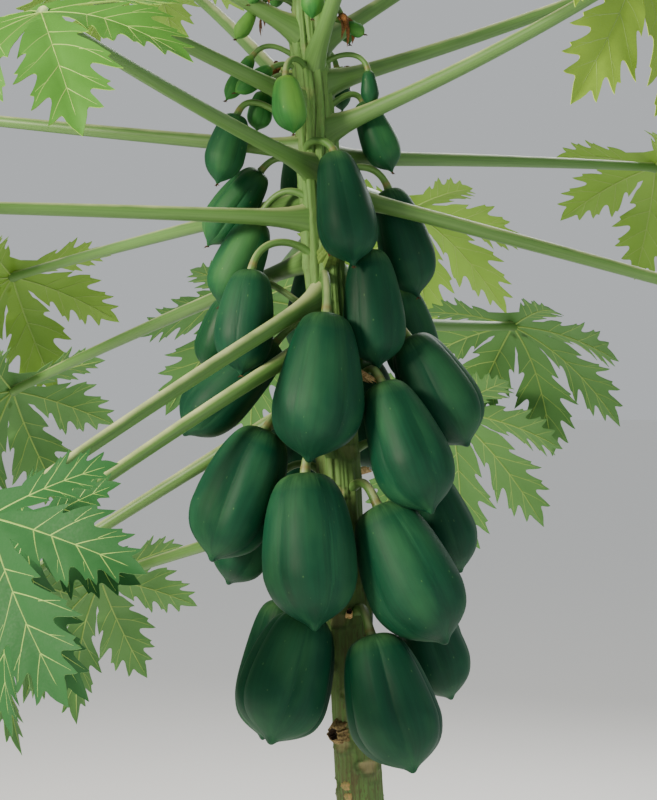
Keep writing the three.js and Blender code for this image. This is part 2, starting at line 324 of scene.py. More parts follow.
# Set fruit under the crown, too small for solids of their own
SMALL_FRUITS = [
    FruitRow(*row)
    for row in (
        (1889, 277, 62, 60, 36, 4, 0, 6, 0),
        (1850, 334, 76, 36, 22, 58, 0, -4, 0),
        (1764, 348, 86, 54, 28, 4, 0, 10, 0),
        (1858, 192, 98, 50, 26, 32, 0, 8, 0),
        (1902, 206, 86, 40, 22, 28, 0, 6, 0),
        (1822, 96, 84, 54, 30, 14, 0, 8, 0),
        (1866, 44, 78, 46, 25, 22, 0, 6, 0),
        (1918, 128, 74, 40, 23, 26, 0, 6, 0),
        (1940, 12, 66, 34, 20, 24, 0, 4, 0),
        (1962, 226, 60, 30, 18, 26, 0, 4, 0),
        (1778, 62, 88, 66, 36, 16, 0, 8, 0),
        (1762, 136, 72, 58, 32, 10, 0, 6, 0),
    )
]


@dataclass(frozen=True)
class LeafRow:
    """Place and size of one leaf.

    Attributes:
        height: where its stalk leaves the stem.
        bearing: which way it grows.
        rise: how steeply the stalk starts.
        curl: how much steeper it ends.
        stalk: the stalk's length.
        blade: the blade's radius.
        pitch: how steeply the blade points upwards.
    """

    height: float
    bearing: float
    rise: float
    curl: float
    stalk: float
    blade: float
    pitch: float

    def stalk_corners(self, root: np.ndarray) -> list[np.ndarray]:
        """Control points of the stalk's curve from its root, the last where the blade starts."""
        bend = root + outward(self.bearing, self.rise) * self.stalk / 2
        return [root, bend, bend + outward(self.bearing, self.rise + self.curl) * self.stalk / 2]


LEAVES = [
    LeafRow(*row)
    for row in (
        (1646, 239, 9, 4, 640, 270, -28),
        (1745, 211, 18, 4, 600, 265, -14),
        (1676, 168, 6, 2, 690, 275, -30),
        (1571, 197, 1, -2, 700, 280, -38),
        (1604, 138, -6, -2, 720, 280, -44),
        (1514, 140, -14, -4, 720, 270, -52),
        (1452, 234, -22, -3, 735, 270, -58),
        (1392, 217, -27, -4, 560, 255, -66),
        (1312, 175, -31, -2, 540, 250, -70),
        (1852, 200, 24, 10, 560, 255, 0),
        (1808, 288, 36, 4, 560, 260, -4),
        (1835, 32, 32, 4, 570, 255, 0),
        (1885, 72, 42, 6, 520, 240, 10),
        (1735, 124, 38, -10, 620, 265, -10),
        (1774, 18, 18, 6, 660, 270, -16),
        (1704, 345, 20, 12, 640, 265, -12),
        (1664, 36, 4, -2, 700, 275, -34),
        (1612, 350, -15, -2, 730, 280, -50),
        (1420, 56, 0, 2, 560, 255, -34),
        (1133, 140, -13, -4, 520, 240, -56),
        (1628, 76, 4, -4, 660, 270, -34),
        (1515, 70, -18, -4, 690, 270, -52),
        (1558, 100, -4, -4, 680, 275, -46),
        (1900, 312, 12, -34, 640, 240, -58),
        (1965, 246, 46, 8, 460, 220, 18),
    )
]


# Finishes

MULTIPLY = {"operation": "MULTIPLY"}
LARGER = {"operation": "MAXIMUM"}
SMOOTH = {"interpolation_type": "SMOOTHSTEP"}
COLOUR = {"data_type": "RGBA"}
# Sockets of a mixer of colours, and those of a mixer of numbers
FACTOR, FIRST, SECOND, MIXED = 0, 6, 7, 2
LEFT, RIGHT = 2, 3
# Nearly all of a noise lies in this middle range
MIDDLE = {"From Min": 0.35, "From Max": 0.65}


def linear(colour: str) -> tuple[float, float, float, float]:
    """A colour for a socket.

    Args:
        colour: six hex digits of sRGB.

    Returns:
        Linear red, green, blue and alpha.
    """
    shades = [int(colour[i : i + 2], 16) / 255 for i in (0, 2, 4)]
    red, green, blue = (c / 12.92 if c <= 0.04045 else ((c + 0.055) / 1.055) ** 2.4 for c in shades)
    return red, green, blue, 1.0


def feed(tree: bpy.types.NodeTree, node: bpy.types.Node, inputs: dict[Any, Any]) -> None:
    """Sets or links a node's inputs.

    Args:
        tree: the material's nodes.
        node: the node.
        inputs: a constant, or the output that feeds it, for each input socket.
    """
    for socket, value in inputs.items():
        if isinstance(value, Socket):
            tree.links.new(value, node.inputs[socket])
        else:
            node.inputs[socket].default_value = value


def add_node(
    tree: bpy.types.NodeTree,
    kind: str,
    inputs: dict[Any, Any] | None = None,
    settings: dict[str, Any] | None = None,
    output: int | str = 0,
) -> Socket:
    """Adds a node with its settings and links.

    Args:
        tree: the material's nodes.
        kind: the node's type, short of the words that all shader nodes start with.
        inputs: a constant, or the output that feeds it, for each input socket.
        settings: its own properties.
        output: which output is wanted.

    Returns:
        That output.
    """
    node = tree.nodes.new("ShaderNode" + kind)
    for name, value in (settings or {}).items():
        setattr(node, name, value)
    feed(tree, node, inputs or {})
    return node.outputs[output]


def per_metre(size: float) -> float:
    """Scale of a pattern whose cells are as many millimetres wide."""
    return 1 / (size * MM)


def drawn_out(
    add: Adder, spots: Socket, wide: float, long: float, detail: float, rough: float = 0.5
) -> Socket:
    """A pattern drawn out along Z, as growth draws out threads and streaks.

    Args:
        add: adds a node.
        spots: the coordinates it is drawn on.
        wide: width of its cells.
        long: length of its cells.
        detail: how many finer patterns lie over it.
        rough: how strong these are.

    Returns:
        The pattern, from 0 to 1.
    """
    cells = (per_metre(wide), per_metre(wide), per_metre(long))
    stretched = add("Mapping", {"Vector": spots, "Scale": cells})
    return add("TexNoise", {"Vector": stretched, "Scale": 1.0, "Detail": detail, "Roughness": rough})


@dataclass
class Drawing:
    """What a finish draws.

    Attributes:
        layers: how much of each colour lies over those before it, and the colour.
        reliefs: what stands out of the surface, how strongly, and how far.
        gloss: what makes the surface smoother and rougher, if anything does.
    """

    layers: list[tuple[Socket, str]]
    reliefs: list[tuple[Socket, float, float]]
    gloss: Socket | None = None


@dataclass(frozen=True)
class Finish:
    """A surface: its name, how it takes light, and the colour that lies lowest."""

    name: str
    roughness: float
    ior: float = 1.45
    specular: float = 0.5
    colour: str = "4c8a35"
    smoother: float = 0.06
    rougher: float = 0.06

    def draw(self, add: Adder) -> Drawing:
        """What the finish draws with the nodes that it adds."""
        raise NotImplementedError

    def material(self) -> bpy.types.Material:
        """Makes the material.

        Returns:
            It, with all its nodes.
        """
        material = bpy.data.materials.new(self.name)
        material.use_nodes = True
        tree = material.node_tree
        add = partial(add_node, tree)
        drawing = self.draw(add)
        colour = linear(self.colour)
        for amount, over in drawing.layers:
            colour = add("Mix", {FACTOR: amount, FIRST: colour, SECOND: linear(over)}, COLOUR, MIXED)
        normal = {}
        for height, strength, depth in drawing.reliefs:
            bump = {"Height": height, "Strength": strength, "Distance": depth * MM}
            normal = {"Normal": add("Bump", bump | normal)}
        light = {"Base Color": colour, "Roughness": self.roughness, "IOR": self.ior}
        if drawing.gloss is not None:
            ends = {"To Min": self.roughness - self.smoother, "To Max": self.roughness + self.rougher}
            light["Roughness"] = add("MapRange", {"Value": drawing.gloss} | MIDDLE | ends)
        light["Specular IOR Level"] = self.specular
        feed(tree, tree.nodes["Principled BSDF"], light | normal)
        return material


@dataclass(frozen=True)
class PeelFinish(Finish):
    """Waxy skin of unripe papaya: deep green under a thin bloom, so highlights are broad and
    soft, with faint streaks from shoulder to tip and pale breathing specks."""

    colour: str = "023322"
    fresh: str = "08462f"
    pale: str = "6f9a58"
    paleness: float = 0.1
    shoulder: float = 0.4
    shoulder_share: float = 0.14
    streak_width: float = 3.6
    streak_length: float = 60.0
    streak_share: float = 0.3
    blotch: float = 62.0
    speck_gap: float = 12.0
    speck_share: float = 0.085
    speck_paleness: float = 0.4
    # real pores are a quarter as wide, too fine to show
    pore: float = 2.6
    dent: float = 15.0
    smoother: float = 0.07
    rougher: float = 0.09

    def draw(self, add: Adder) -> Drawing:
        """Draws the blotched and streaked skin, paler at the shoulder, with specks and dents.

        Args:
            add: adds a node.

        Returns:
            What is drawn.
        """
        grain = add("Attribute", settings={"attribute_name": "grain"}, output="Vector")
        along = add("Attribute", settings={"attribute_name": "along"}, output="Fac")
        streak = drawn_out(add, grain, self.streak_width, self.streak_length, 3.0, 0.6)
        blotch = add("TexNoise", {"Vector": grain, "Scale": per_metre(self.blotch), "Detail": 3.0})
        both = add("Mix", {FACTOR: self.streak_share, LEFT: blotch, RIGHT: streak})
        shade = add("MapRange", {"Value": both} | MIDDLE)
        # the shoulder stays paler, in rays round the stalk
        near = {"From Min": self.shoulder_share, "From Max": 0.0, "To Max": self.shoulder}
        rays = add("Math", {0: add("MapRange", {"Value": along} | near), 1: shade}, MULTIPLY)
        cloud = {"From Min": 0.48, "From Max": 0.8, "To Max": self.paleness}
        bloom = add("MapRange", {"Value": blotch} | cloud)
        speck = add("TexVoronoi", {"Vector": grain, "Scale": per_metre(self.speck_gap)})
        core = {"From Min": self.speck_share, "From Max": 0.0, "To Max": self.speck_paleness}
        pores = add("TexNoise", {"Vector": grain, "Scale": per_metre(self.pore), "Detail": 1.0})
        dents = add("TexNoise", {"Vector": grain, "Scale": per_metre(self.dent), "Detail": 1.5})
        return Drawing(
            [
                (shade, self.fresh),
                (add("Math", {0: rays, 1: bloom}, LARGER), self.pale),
                (add("MapRange", {"Value": speck} | core), self.pale),
            ],
            [(pores, 0.35, 0.2), (streak, 0.3, 0.35), (dents, 0.5, 1.6)],
            blotch,
        )


@dataclass(frozen=True)
class StalkFinish(Finish):
    """Smooth skin of a fleshy stalk: pale green with fine lengthwise threads, with a cream highlight
    painted in patches along its upper side, in a long line."""

    colour: str = "3d602e"
    fresh: str = "5f8846"
    # colour of the painted highlight along the upper side
    cream: str = "ccd29e"
    ring: str = "7d6a3c"
    painted_highlight_strength: float = 0.72
    thread: float = 1.8
    thread_length: float = 150.0
    patch: float = 70.0

    def draw(self, add: Adder) -> Drawing:
        """Draws the threads, the cream highlight painted in patches along the upper side, and the ring at
        the joint.

        Args:
            add: adds a node.

        Returns:
            What is drawn.
        """
        grain = add("Attribute", settings={"attribute_name": "grain"}, output="Vector")
        upper = add("Attribute", settings={"attribute_name": "upper"}, output="Fac")
        joint = add("Attribute", settings={"attribute_name": "joint"}, output="Fac")
        threads = drawn_out(add, grain, self.thread, self.thread_length, 2.0)
        patches = add("TexNoise", {"Vector": grain, "Scale": per_metre(self.patch), "Detail": 3.0})
        strength = add("MapRange", {"Value": threads, "To Min": 0.38, "To Max": 0.68} | MIDDLE)
        # painted highlight: cream where the upper side meets a patch
        painted_highlight = add("Math", {0: upper, 1: patches}, MULTIPLY)
        top = {"From Min": 0.12, "From Max": 0.5, "To Max": self.painted_highlight_strength}
        amount = add("MapRange", {"Value": painted_highlight} | top)
        layers = [(strength, self.fresh), (amount, self.cream), (joint, self.ring)]
        return Drawing(layers, [(threads, 0.25, 0.15)])


@dataclass(frozen=True)
class BarkFinish(Finish):
    """Soft bark of a papaya stem: green and smooth near the crown, greyer and corky towards
    the foot, streaked upright, with pale rough scars where leaves fell, and painted shade in
    its grooves and under the scars' ledges."""

    colour: str = "507038"
    crown: str = "5f8846"
    foot: str = "6c694e"
    streaks: str = "4b3f27"
    # painted shade in the grooves between the crown's cords and under the scars' ledges
    painted_recess_shade: str = "2a3f18"
    scar: str = "857d58"
    # metres above the ground where the bark is neither young nor old, and where it is young
    grown: float = 0.75
    green: float = 1.6
    streak_width: float = 4.2
    streak_length: float = 95.0
    patch: float = 46.0
    patch_length: float = 115.0
    # real corky dashes are half as wide, too fine to show
    dash: float = 2.6
    dash_length: float = 11.0
    pit: float = 2.2

    def draw(self, add: Adder) -> Drawing:
        """Draws the bark's age, its furrows and corky dashes, the painted shade in its grooves, and its
        scars.

        Args:
            add: adds a node.

        Returns:
            What is drawn.
        """
        spots = add("TexCoord", output="Object")
        scarred = add("Attribute", settings={"attribute_name": "scar"}, output="Fac")
        # how much painted shade falls in the grooves and under the ledges
        hollow = add("Attribute", settings={"attribute_name": "hollow"}, output="Fac")
        up = add("SeparateXYZ", {"Vector": spots}, output="Z")
        young = add("MapRange", {"Value": up, "From Min": self.grown, "From Max": self.green}, SMOOTH)
        old = add("MapRange", {"Value": up, "From Min": self.grown, "From Max": 0.0}, SMOOTH)
        streak = drawn_out(add, spots, self.streak_width, self.streak_length, 5.0, 0.65)
        patches = drawn_out(add, spots, self.patch, self.patch_length, 4.0)
        dashes = drawn_out(add, spots, self.dash, self.dash_length, 1.0)
        furrow = add("MapRange", {"Value": streak, "From Min": 0.56, "From Max": 0.4, "To Max": 0.85})
        corky = add("MapRange", {"Value": dashes, "From Min": 0.57, "From Max": 0.64, "To Max": 0.9})
        browned = add("MapRange", {"Value": patches, "From Min": 0.4, "From Max": 0.6, "To Min": 0.25})
        # the crown's skin is still smooth and hardly streaked
        smoothed = add("MapRange", {"Value": young, "To Min": 1.0, "To Max": 0.3})
        worn = add("Math", {0: furrow, 1: corky}, LARGER)
        patched = add("Math", {0: worn, 1: browned}, MULTIPLY)
        streaked = add("Math", {0: patched, 1: smoothed}, MULTIPLY)
        pits = add("TexNoise", {"Vector": spots, "Scale": per_metre(self.pit), "Detail": 4.0})
        return Drawing(
            [
                (young, self.crown),
                (old, self.foot),
                (streaked, self.streaks),
                # painted shade over the grooves and under the ledges
                (hollow, self.painted_recess_shade),
                (scarred, self.scar),
            ],
            [(pits, 0.5, 0.35), (streak, 0.6, 1.0)],
        )


@dataclass(frozen=True)
class PlainFinish(Finish):
    """A tissue of one colour, such as leaf: the colour belongs to the piece's place, and only
    its fine grain varies. Dry tissue is flecked with a second shade."""

    fleck: str = ""
    grain: float = 3.0
    relief: float = 0.2

    def draw(self, add: Adder) -> Drawing:
        """Draws the grain, and flecks where the tissue has them.

        Args:
            add: adds a node.

        Returns:
            What is drawn.
        """
        spots = add("TexCoord", output="Object")
        noise = add("TexNoise", {"Vector": spots, "Scale": per_metre(self.grain), "Detail": 2.0})
        flecks = [(add("MapRange", {"Value": noise} | MIDDLE), self.fleck)] if self.fleck else []
        return Drawing(flecks, [(noise, 0.4, self.relief)], noise)


# Meshes


def deselect_all() -> None:
    """Leaves nothing selected, so that an operator acts only on what comes next."""
    bpy.ops.object.select_all(action="DESELECT")
    bpy.context.view_layer.objects.active = None


def select_ring(height: float) -> None:
    """Selects the vertices of the edited mesh at a height.

    Args:
        height: the height, from 0 to 1.
    """
    bpy.ops.mesh.select_mode(type="VERT")
    bpy.ops.mesh.select_all(action="DESELECT")
    mesh = bmesh.from_edit_mesh(bpy.context.edit_object.data)
    for vertex in mesh.verts:
        vertex.select = abs(vertex.co.z - height) < CLOSE
    mesh.select_flush_mode()
    bmesh.update_edit_mesh(bpy.context.edit_object.data)


def select_upright() -> None:
    """Selects the upright edges of the edited mesh."""
    bpy.ops.mesh.select_all(action="DESELECT")
    mesh = bmesh.from_edit_mesh(bpy.context.edit_object.data)
    for edge in mesh.edges:
        edge.select = abs(edge.verts[0].co.z - edge.verts[1].co.z) > CLOSE
    mesh.select_flush_mode()
    bmesh.update_edit_mesh(bpy.context.edit_object.data)


@dataclass
class Drum:
    """A straight drum of unit height and radius, modelled ring by ring. Each part that is
    round along a line is a copy of one, with its rings laid along that line.

    Attributes:
        sides: corners of a ring.
        rings: extrusions from end to end.
        ends: how it is closed.
        cuts: further cuts across each extrusion.
    """

    sides: int
    rings: int
    ends: Ends
    cuts: int = 0
    share: np.ndarray = field(init=False)
    angle: np.ndarray = field(init=False)
    radial: np.ndarray = field(init=False)
    faces: list[list[int]] = field(init=False)

    def __post_init__(self) -> None:
        """Models the drum and keeps its ring places and faces."""
        deselect_all()
        bpy.ops.mesh.primitive_circle_add(vertices=self.sides, radius=1.0, location=(0, 0, 0))
        drum = bpy.context.object
        bpy.ops.object.mode_set(mode="EDIT")
        bpy.ops.mesh.select_mode(type="EDGE")
        bpy.ops.mesh.select_all(action="SELECT")
        for _ in range(self.rings):
            bpy.ops.mesh.extrude_region_move(TRANSFORM_OT_translate={"value": (0, 0, 1 / self.rings)})
        if self.cuts:
            select_upright()
            bpy.ops.mesh.subdivide(number_cuts=self.cuts)
        for height in (0.0, 1.0):
            select_ring(height)
            if self.ends is Ends.POINTED:
                bpy.ops.mesh.merge(type="CENTER")
            else:
                bpy.ops.mesh.edge_face_add()
        bpy.ops.mesh.select_all(action="SELECT")
        bpy.ops.mesh.normals_make_consistent(inside=False)
        bpy.ops.object.mode_set(mode="OBJECT")
        spots = np.zeros(len(drum.data.vertices) * 3)
        drum.data.vertices.foreach_get("co", spots)
        x, y, self.share = spots.reshape(-1, 3).T
        self.angle = np.arctan2(y, x)
        self.radial = np.round(np.hypot(x, y), 6)
        self.faces = [list(polygon.vertices) for polygon in drum.data.polygons]
        bpy.data.objects.remove(drum, do_unlink=True)

    def along(self, path: np.ndarray, side: np.ndarray, wide: np.ndarray, tall: np.ndarray) -> np.ndarray:
        """Lays the rings along a path.

        Args:
            path: one point for each ring, evenly spaced in the drum's share.
            side: roughly sideways at the path's start.
            wide: half width at each ring.
            tall: half height at each ring.

        Returns:
            The vertices.
        """
        sides, overs = section_frames(path, side)
        ring = np.clip(np.round(self.share * (len(path) - 1)).astype(int), 0, len(path) - 1)
        across = (np.cos(self.angle) * self.radial * wide[ring])[:, None]
        above = (np.sin(self.angle) * self.radial * tall[ring])[:, None]
        return path[ring] + sides[ring] * across + overs[ring] * above

    def straight(self, radius: Any, rise: np.ndarray) -> np.ndarray:
        """Lays the rings along an upright line.

        Args:
            radius: distance of each vertex from the line.
            rise: its height.

        Returns:
            The vertices.
        """
        x = radius * np.cos(self.angle) * self.radial
        y = radius * np.sin(self.angle) * self.radial
        return np.stack([x, y, rise], axis=1)

    def upper(self) -> np.ndarray:
        """How far each vertex is on the upper side of a drum that lies along a path, where a stalk's
        painted highlight goes.
        """
        return np.sin(self.angle).clip(0) ** 2 * self.radial


@dataclass
class Batch:
    """Forms of one kind, joined into one piece from arrays."""

    name: str
    points: list[np.ndarray] = field(default_factory=list)
    faces: list[Any] = field(default_factory=list)
    looks: list[int] = field(default_factory=list)
    attributes: dict[str, list[np.ndarray]] = field(default_factory=dict)
    count: int = 0

    def add(self, points: np.ndarray, faces: Any, look: int = 0, **attributes: np.ndarray) -> None:
        """Adds one form.

        Args:
            points: its vertices.
            faces: vertex numbers of each face.
            look: place of its finish among the piece's materials.
            attributes: values for each vertex.
        """
        self.points.append(points)
        self.faces.extend([[i + self.count for i in face] for face in faces])
        self.looks.extend([look] * len(faces))
        for name, values in attributes.items():
            self.attributes.setdefault(name, []).append(values)
        self.count += len(points)

    def build(self, finishes: Sequence[bpy.types.Material], smooth: float) -> bpy.types.Object:
        """Makes the piece.

        Args:
            finishes: its materials.
            smooth: faces that meet at less than this many degrees are shaded as one.

        Returns:
            The object, at the origin.
        """
        mesh = bpy.data.meshes.new(self.name)
        mesh.from_pydata((np.vstack(self.points) * MM).tolist(), [], self.faces)
        for material in finishes:
            mesh.materials.append(material)
        mesh.polygons.foreach_set("material_index", self.looks)
        for name, parts in self.attributes.items():
            values = np.concatenate(parts)
            kind, key = ("FLOAT_VECTOR", "vector") if values.ndim == 2 else ("FLOAT", "value")
            mesh.attributes.new(name, kind, "POINT").data.foreach_set(key, values.ravel())
        mesh.validate()
        mesh.update()
        piece = bpy.data.objects.new(self.name, mesh)
        bpy.context.collection.objects.link(piece)
        deselect_all()
        piece.select_set(True)
        bpy.context.view_layer.objects.active = piece
        bpy.ops.object.shade_smooth_by_angle(angle=math.radians(smooth))
        return piece


def place(piece: bpy.types.Object, slot: Slot, nodes: Sequence[str] = ()) -> None:
    """Rides a piece on the tree, and reports it.

    Args:
        piece: the piece.
        slot: its material slot; not used.
        nodes: the solids that it stands for.
    """
    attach(piece, BODY)
    if nodes:
        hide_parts(*nodes)
    faces = sum(len(polygon.vertices) - 2 for polygon in piece.data.polygons)
    LOG.info("%s: %d triangles", piece.name, faces)


# Sub-assemblies


@dataclass
class Trunk:
    """The stem, with fluted root flare, leaf scars, upright furrows and the ridges that run
    down from every stalk."""

    # soft green skin with cork: dull, so light only grazes its scars and furrows
    finish: BarkFinish = BarkFinish("soft papaya bark", 0.72)
    sides: int = 140
    rings: int = 22
    cuts: int = 29
    scar_foot: float = 34.0
    scar_top: float = 1900.0
    scar_step: float = 23.0
    scar_turn: float = 137.5
    scar_wide: float = 19.0
    scar_tall: float = 10.0
    scar_rim: float = 1.7
    scar_dip: float = 1.3
    # height, bearing and strength of the big pale scar low on the front
    front_scar: tuple[float, float, float] = (758.0, math.radians(296), 1.1)
    furrow: float = 0.45
    furrow_waves: tuple[int, ...] = (7, 11, 17, 26, 37)
    folds: int = 11
    fold_rise: float = 5.0
    fold_from: float = 1270.0
    fold_full: float = 1560.0
    ridge_rise: float = 8.0
    ridge_length: float = 150.0
    ridge_wide: float = 10.0
    fruit_ridge: float = 0.55
    foot_fade: float = 12.0
    tip_fade: float = 30.0
    seed: int = 5

    def scars(self) -> list[tuple[float, float, float]]:
        """Scars of fallen leaves, up the spiral.

        Returns:
            Height, bearing in radians and strength of each.
        """
        rng = np.random.default_rng(self.seed)
        rows = []
        for i in range(int(self.scar_top / self.scar_step)):
            height = self.scar_foot + i * self.scar_step + rng.uniform(-5, 5)
            bearing = i * self.scar_turn + rng.uniform(-9, 9)
            rows.append((height, math.radians(bearing), rng.uniform(0.3, 1.0)))
        return [*rows, self.front_scar]

    def relief(self, angle: np.ndarray, z: np.ndarray, base: np.ndarray) -> tuple[np.ndarray, ...]:
        """How the bark stands out from the plain stem.

        Args:
            angle: where round the stem each spot is, in radians.
            z: its height above the ground.
            base: the plain stem's radius there.

        Returns:
            How far each spot stands out, how much of it is scar, and how much painted shade lies in its
            grooves and under its scars' ledges.
        """
        rng = np.random.default_rng(self.seed + 1)
        height = np.zeros_like(z)
        for waves in self.furrow_waves:
            drift = rng.uniform(0, TURN) + 1.4 * np.sin(z / rng.uniform(90, 260) + rng.uniform(0, TURN))
            height += self.furrow * rng.uniform(0.5, 1.0) * np.sin(waves * angle + drift)
        height += 0.8 * np.sin(z / 37 + 2 * np.sin(angle)) * np.exp(-z / 900)
        marked, dark, ridges = (np.zeros_like(z) for _ in range(3))
        for level, bearing, strength in self.scars():
            near = np.abs(z - level) < 3 * self.scar_tall
            aside = turn_between(angle[near], bearing) * base[near] / self.scar_wide
            lift = (z[near] - level) / self.scar_tall
            shield = np.hypot(aside, lift * (1 + 0.35 * lift.clip(-1, 1)))
            inside = 1 - ease((shield - 0.6) / 0.4)
            # a ledge along the scar's lower edge, with painted shadow underneath, and a rim all round with
            # painted shadow just outside it
            arch = lift - 0.15 * aside**2
            ends = np.exp(-((aside / 1.5) ** 4))
            raised = hump(shield, 1, 0.2) + hump(arch, -0.9, 0.22) * ends
            height[near] += strength * (self.scar_rim * raised - self.scar_dip * inside)
            marked[near] = np.maximum(marked[near], strength**2 * 0.75 * inside)
            # painted shadow under the ledge and just outside the rim
            shaded = np.maximum(hump(shield, 1.12, 0.14), hump(arch, -1.3, 0.16) * ends)
            dark[near] = np.maximum(dark[near], 0.7 * strength * shaded)
        stalks = [(row.height, row.bearing, 1.0) for row in LEAVES]
        for row in FRUITS:
            stalks.append((row.frame()[2][2] + row.rise, row.bearing + row.turn, self.fruit_ridge))
        for level, bearing, size in stalks:
            below = (level - z) / self.ridge_length
            envelope = np.where(below > 0, np.exp(-1.6 * below.clip(0) ** 1.5), np.exp(-((below * 6) ** 2)))
            aside = turn_between(angle, math.radians(bearing)) * base / (self.ridge_wide * size)
            raised = self.ridge_rise * size * envelope * np.exp(-(np.abs(aside) ** 2.5))
            ridges = np.maximum(ridges, raised)
        # cord-like folds between the stalks' feet, deep and narrow in their grooves
        young = ease((z - self.fold_from) / (self.fold_full - self.fold_from))
        wander = 0.9 * np.sin(z / 74) + 0.5 * np.sin(z / 31 + angle)
        cords = np.abs(np.sin(self.folds / 2 * angle + wander)) ** 0.6
        height += self.fold_rise * young * (cords - 0.7)
        # painted shade down the narrow grooves between the cords
        hollow = young * (1 - ease(cords / 0.55)) * 0.85
        return height + ridges, marked, np.maximum(hollow, dark * (1 - young))

    def build(self) -> None:
        """Makes the trunk's piece."""
        drum = Drum(self.sides, self.rings, Ends.FLAT, self.cuts)
        z = drum.share * STEM.height
        base = STEM.radius(z)
        height, marked, hollow = self.relief(drum.angle, z, base)
        # both cut ends stay flat and sharp
        fade = ease(z / self.foot_fade) * ease((STEM.height - z) / self.tip_fade)
        radius = base * STEM.lobes(drum.angle, z) + height * fade
        points = STEM.axis(z) + drum.straight(radius, np.zeros_like(z))
        batch = Batch("stem_bark")
        # hollow holds the painted shade of the grooves and ledges
        batch.add(points, drum.faces, scar=marked.clip(0, 1) * fade, hollow=hollow)
        place(batch.build([self.finish.material()], 60), Slot.STEM, ["trunk"])


# Share of the length down from the shoulder, and share of the full radius there for a slim
# and for a full fruit
FRUIT_PROFILE = [
    (0.0, 0.0, 0.0),
    (0.001, 0.12, 0.14),
    (0.006, 0.24, 0.28),
    (0.018, 0.35, 0.42),
    (0.045, 0.46, 0.565),
    (0.09, 0.55, 0.685),
    (0.16, 0.635, 0.795),
    (0.26, 0.73, 0.89),
    (0.38, 0.83, 0.96),
    (0.51, 0.935, 1.0),
    (0.62, 1.0, 1.0),
    (0.70, 0.94, 1.0),
    (0.78, 0.81, 0.95),
    (0.84, 0.66, 0.84),
    (0.885, 0.50, 0.66),
    (0.92, 0.35, 0.45),
    (0.942, 0.245, 0.29),
    (0.958, 0.17, 0.185),
    (0.972, 0.12, 0.125),
    (0.986, 0.08, 0.085),
    (0.996, 0.045, 0.045),
    (1.0, 0.0, 0.0),
]

# How full the shoulder and the lower end are, by fruit; the others differ at random
FRUIT_FULLNESS = {
    1: (0.7, 0.4),
    5: (0.8, 0.2),
    7: (0.8, 0.6),
    8: (0.35, 0.85),
    9: (0.5, 0.5),
    10: (0.5, 0.6),
    13: (0.5, 0.55),
    14: (0.35, 0.6),
    15: (0.28, 0.7),
    16: (0.8, 0.5),
    19: (0.9, 0.5),
    20: (0.95, 0.4),
    22: (0.75, 0.45),
    25: (0.8, 0.6),
    26: (0.6, 0.4),
}


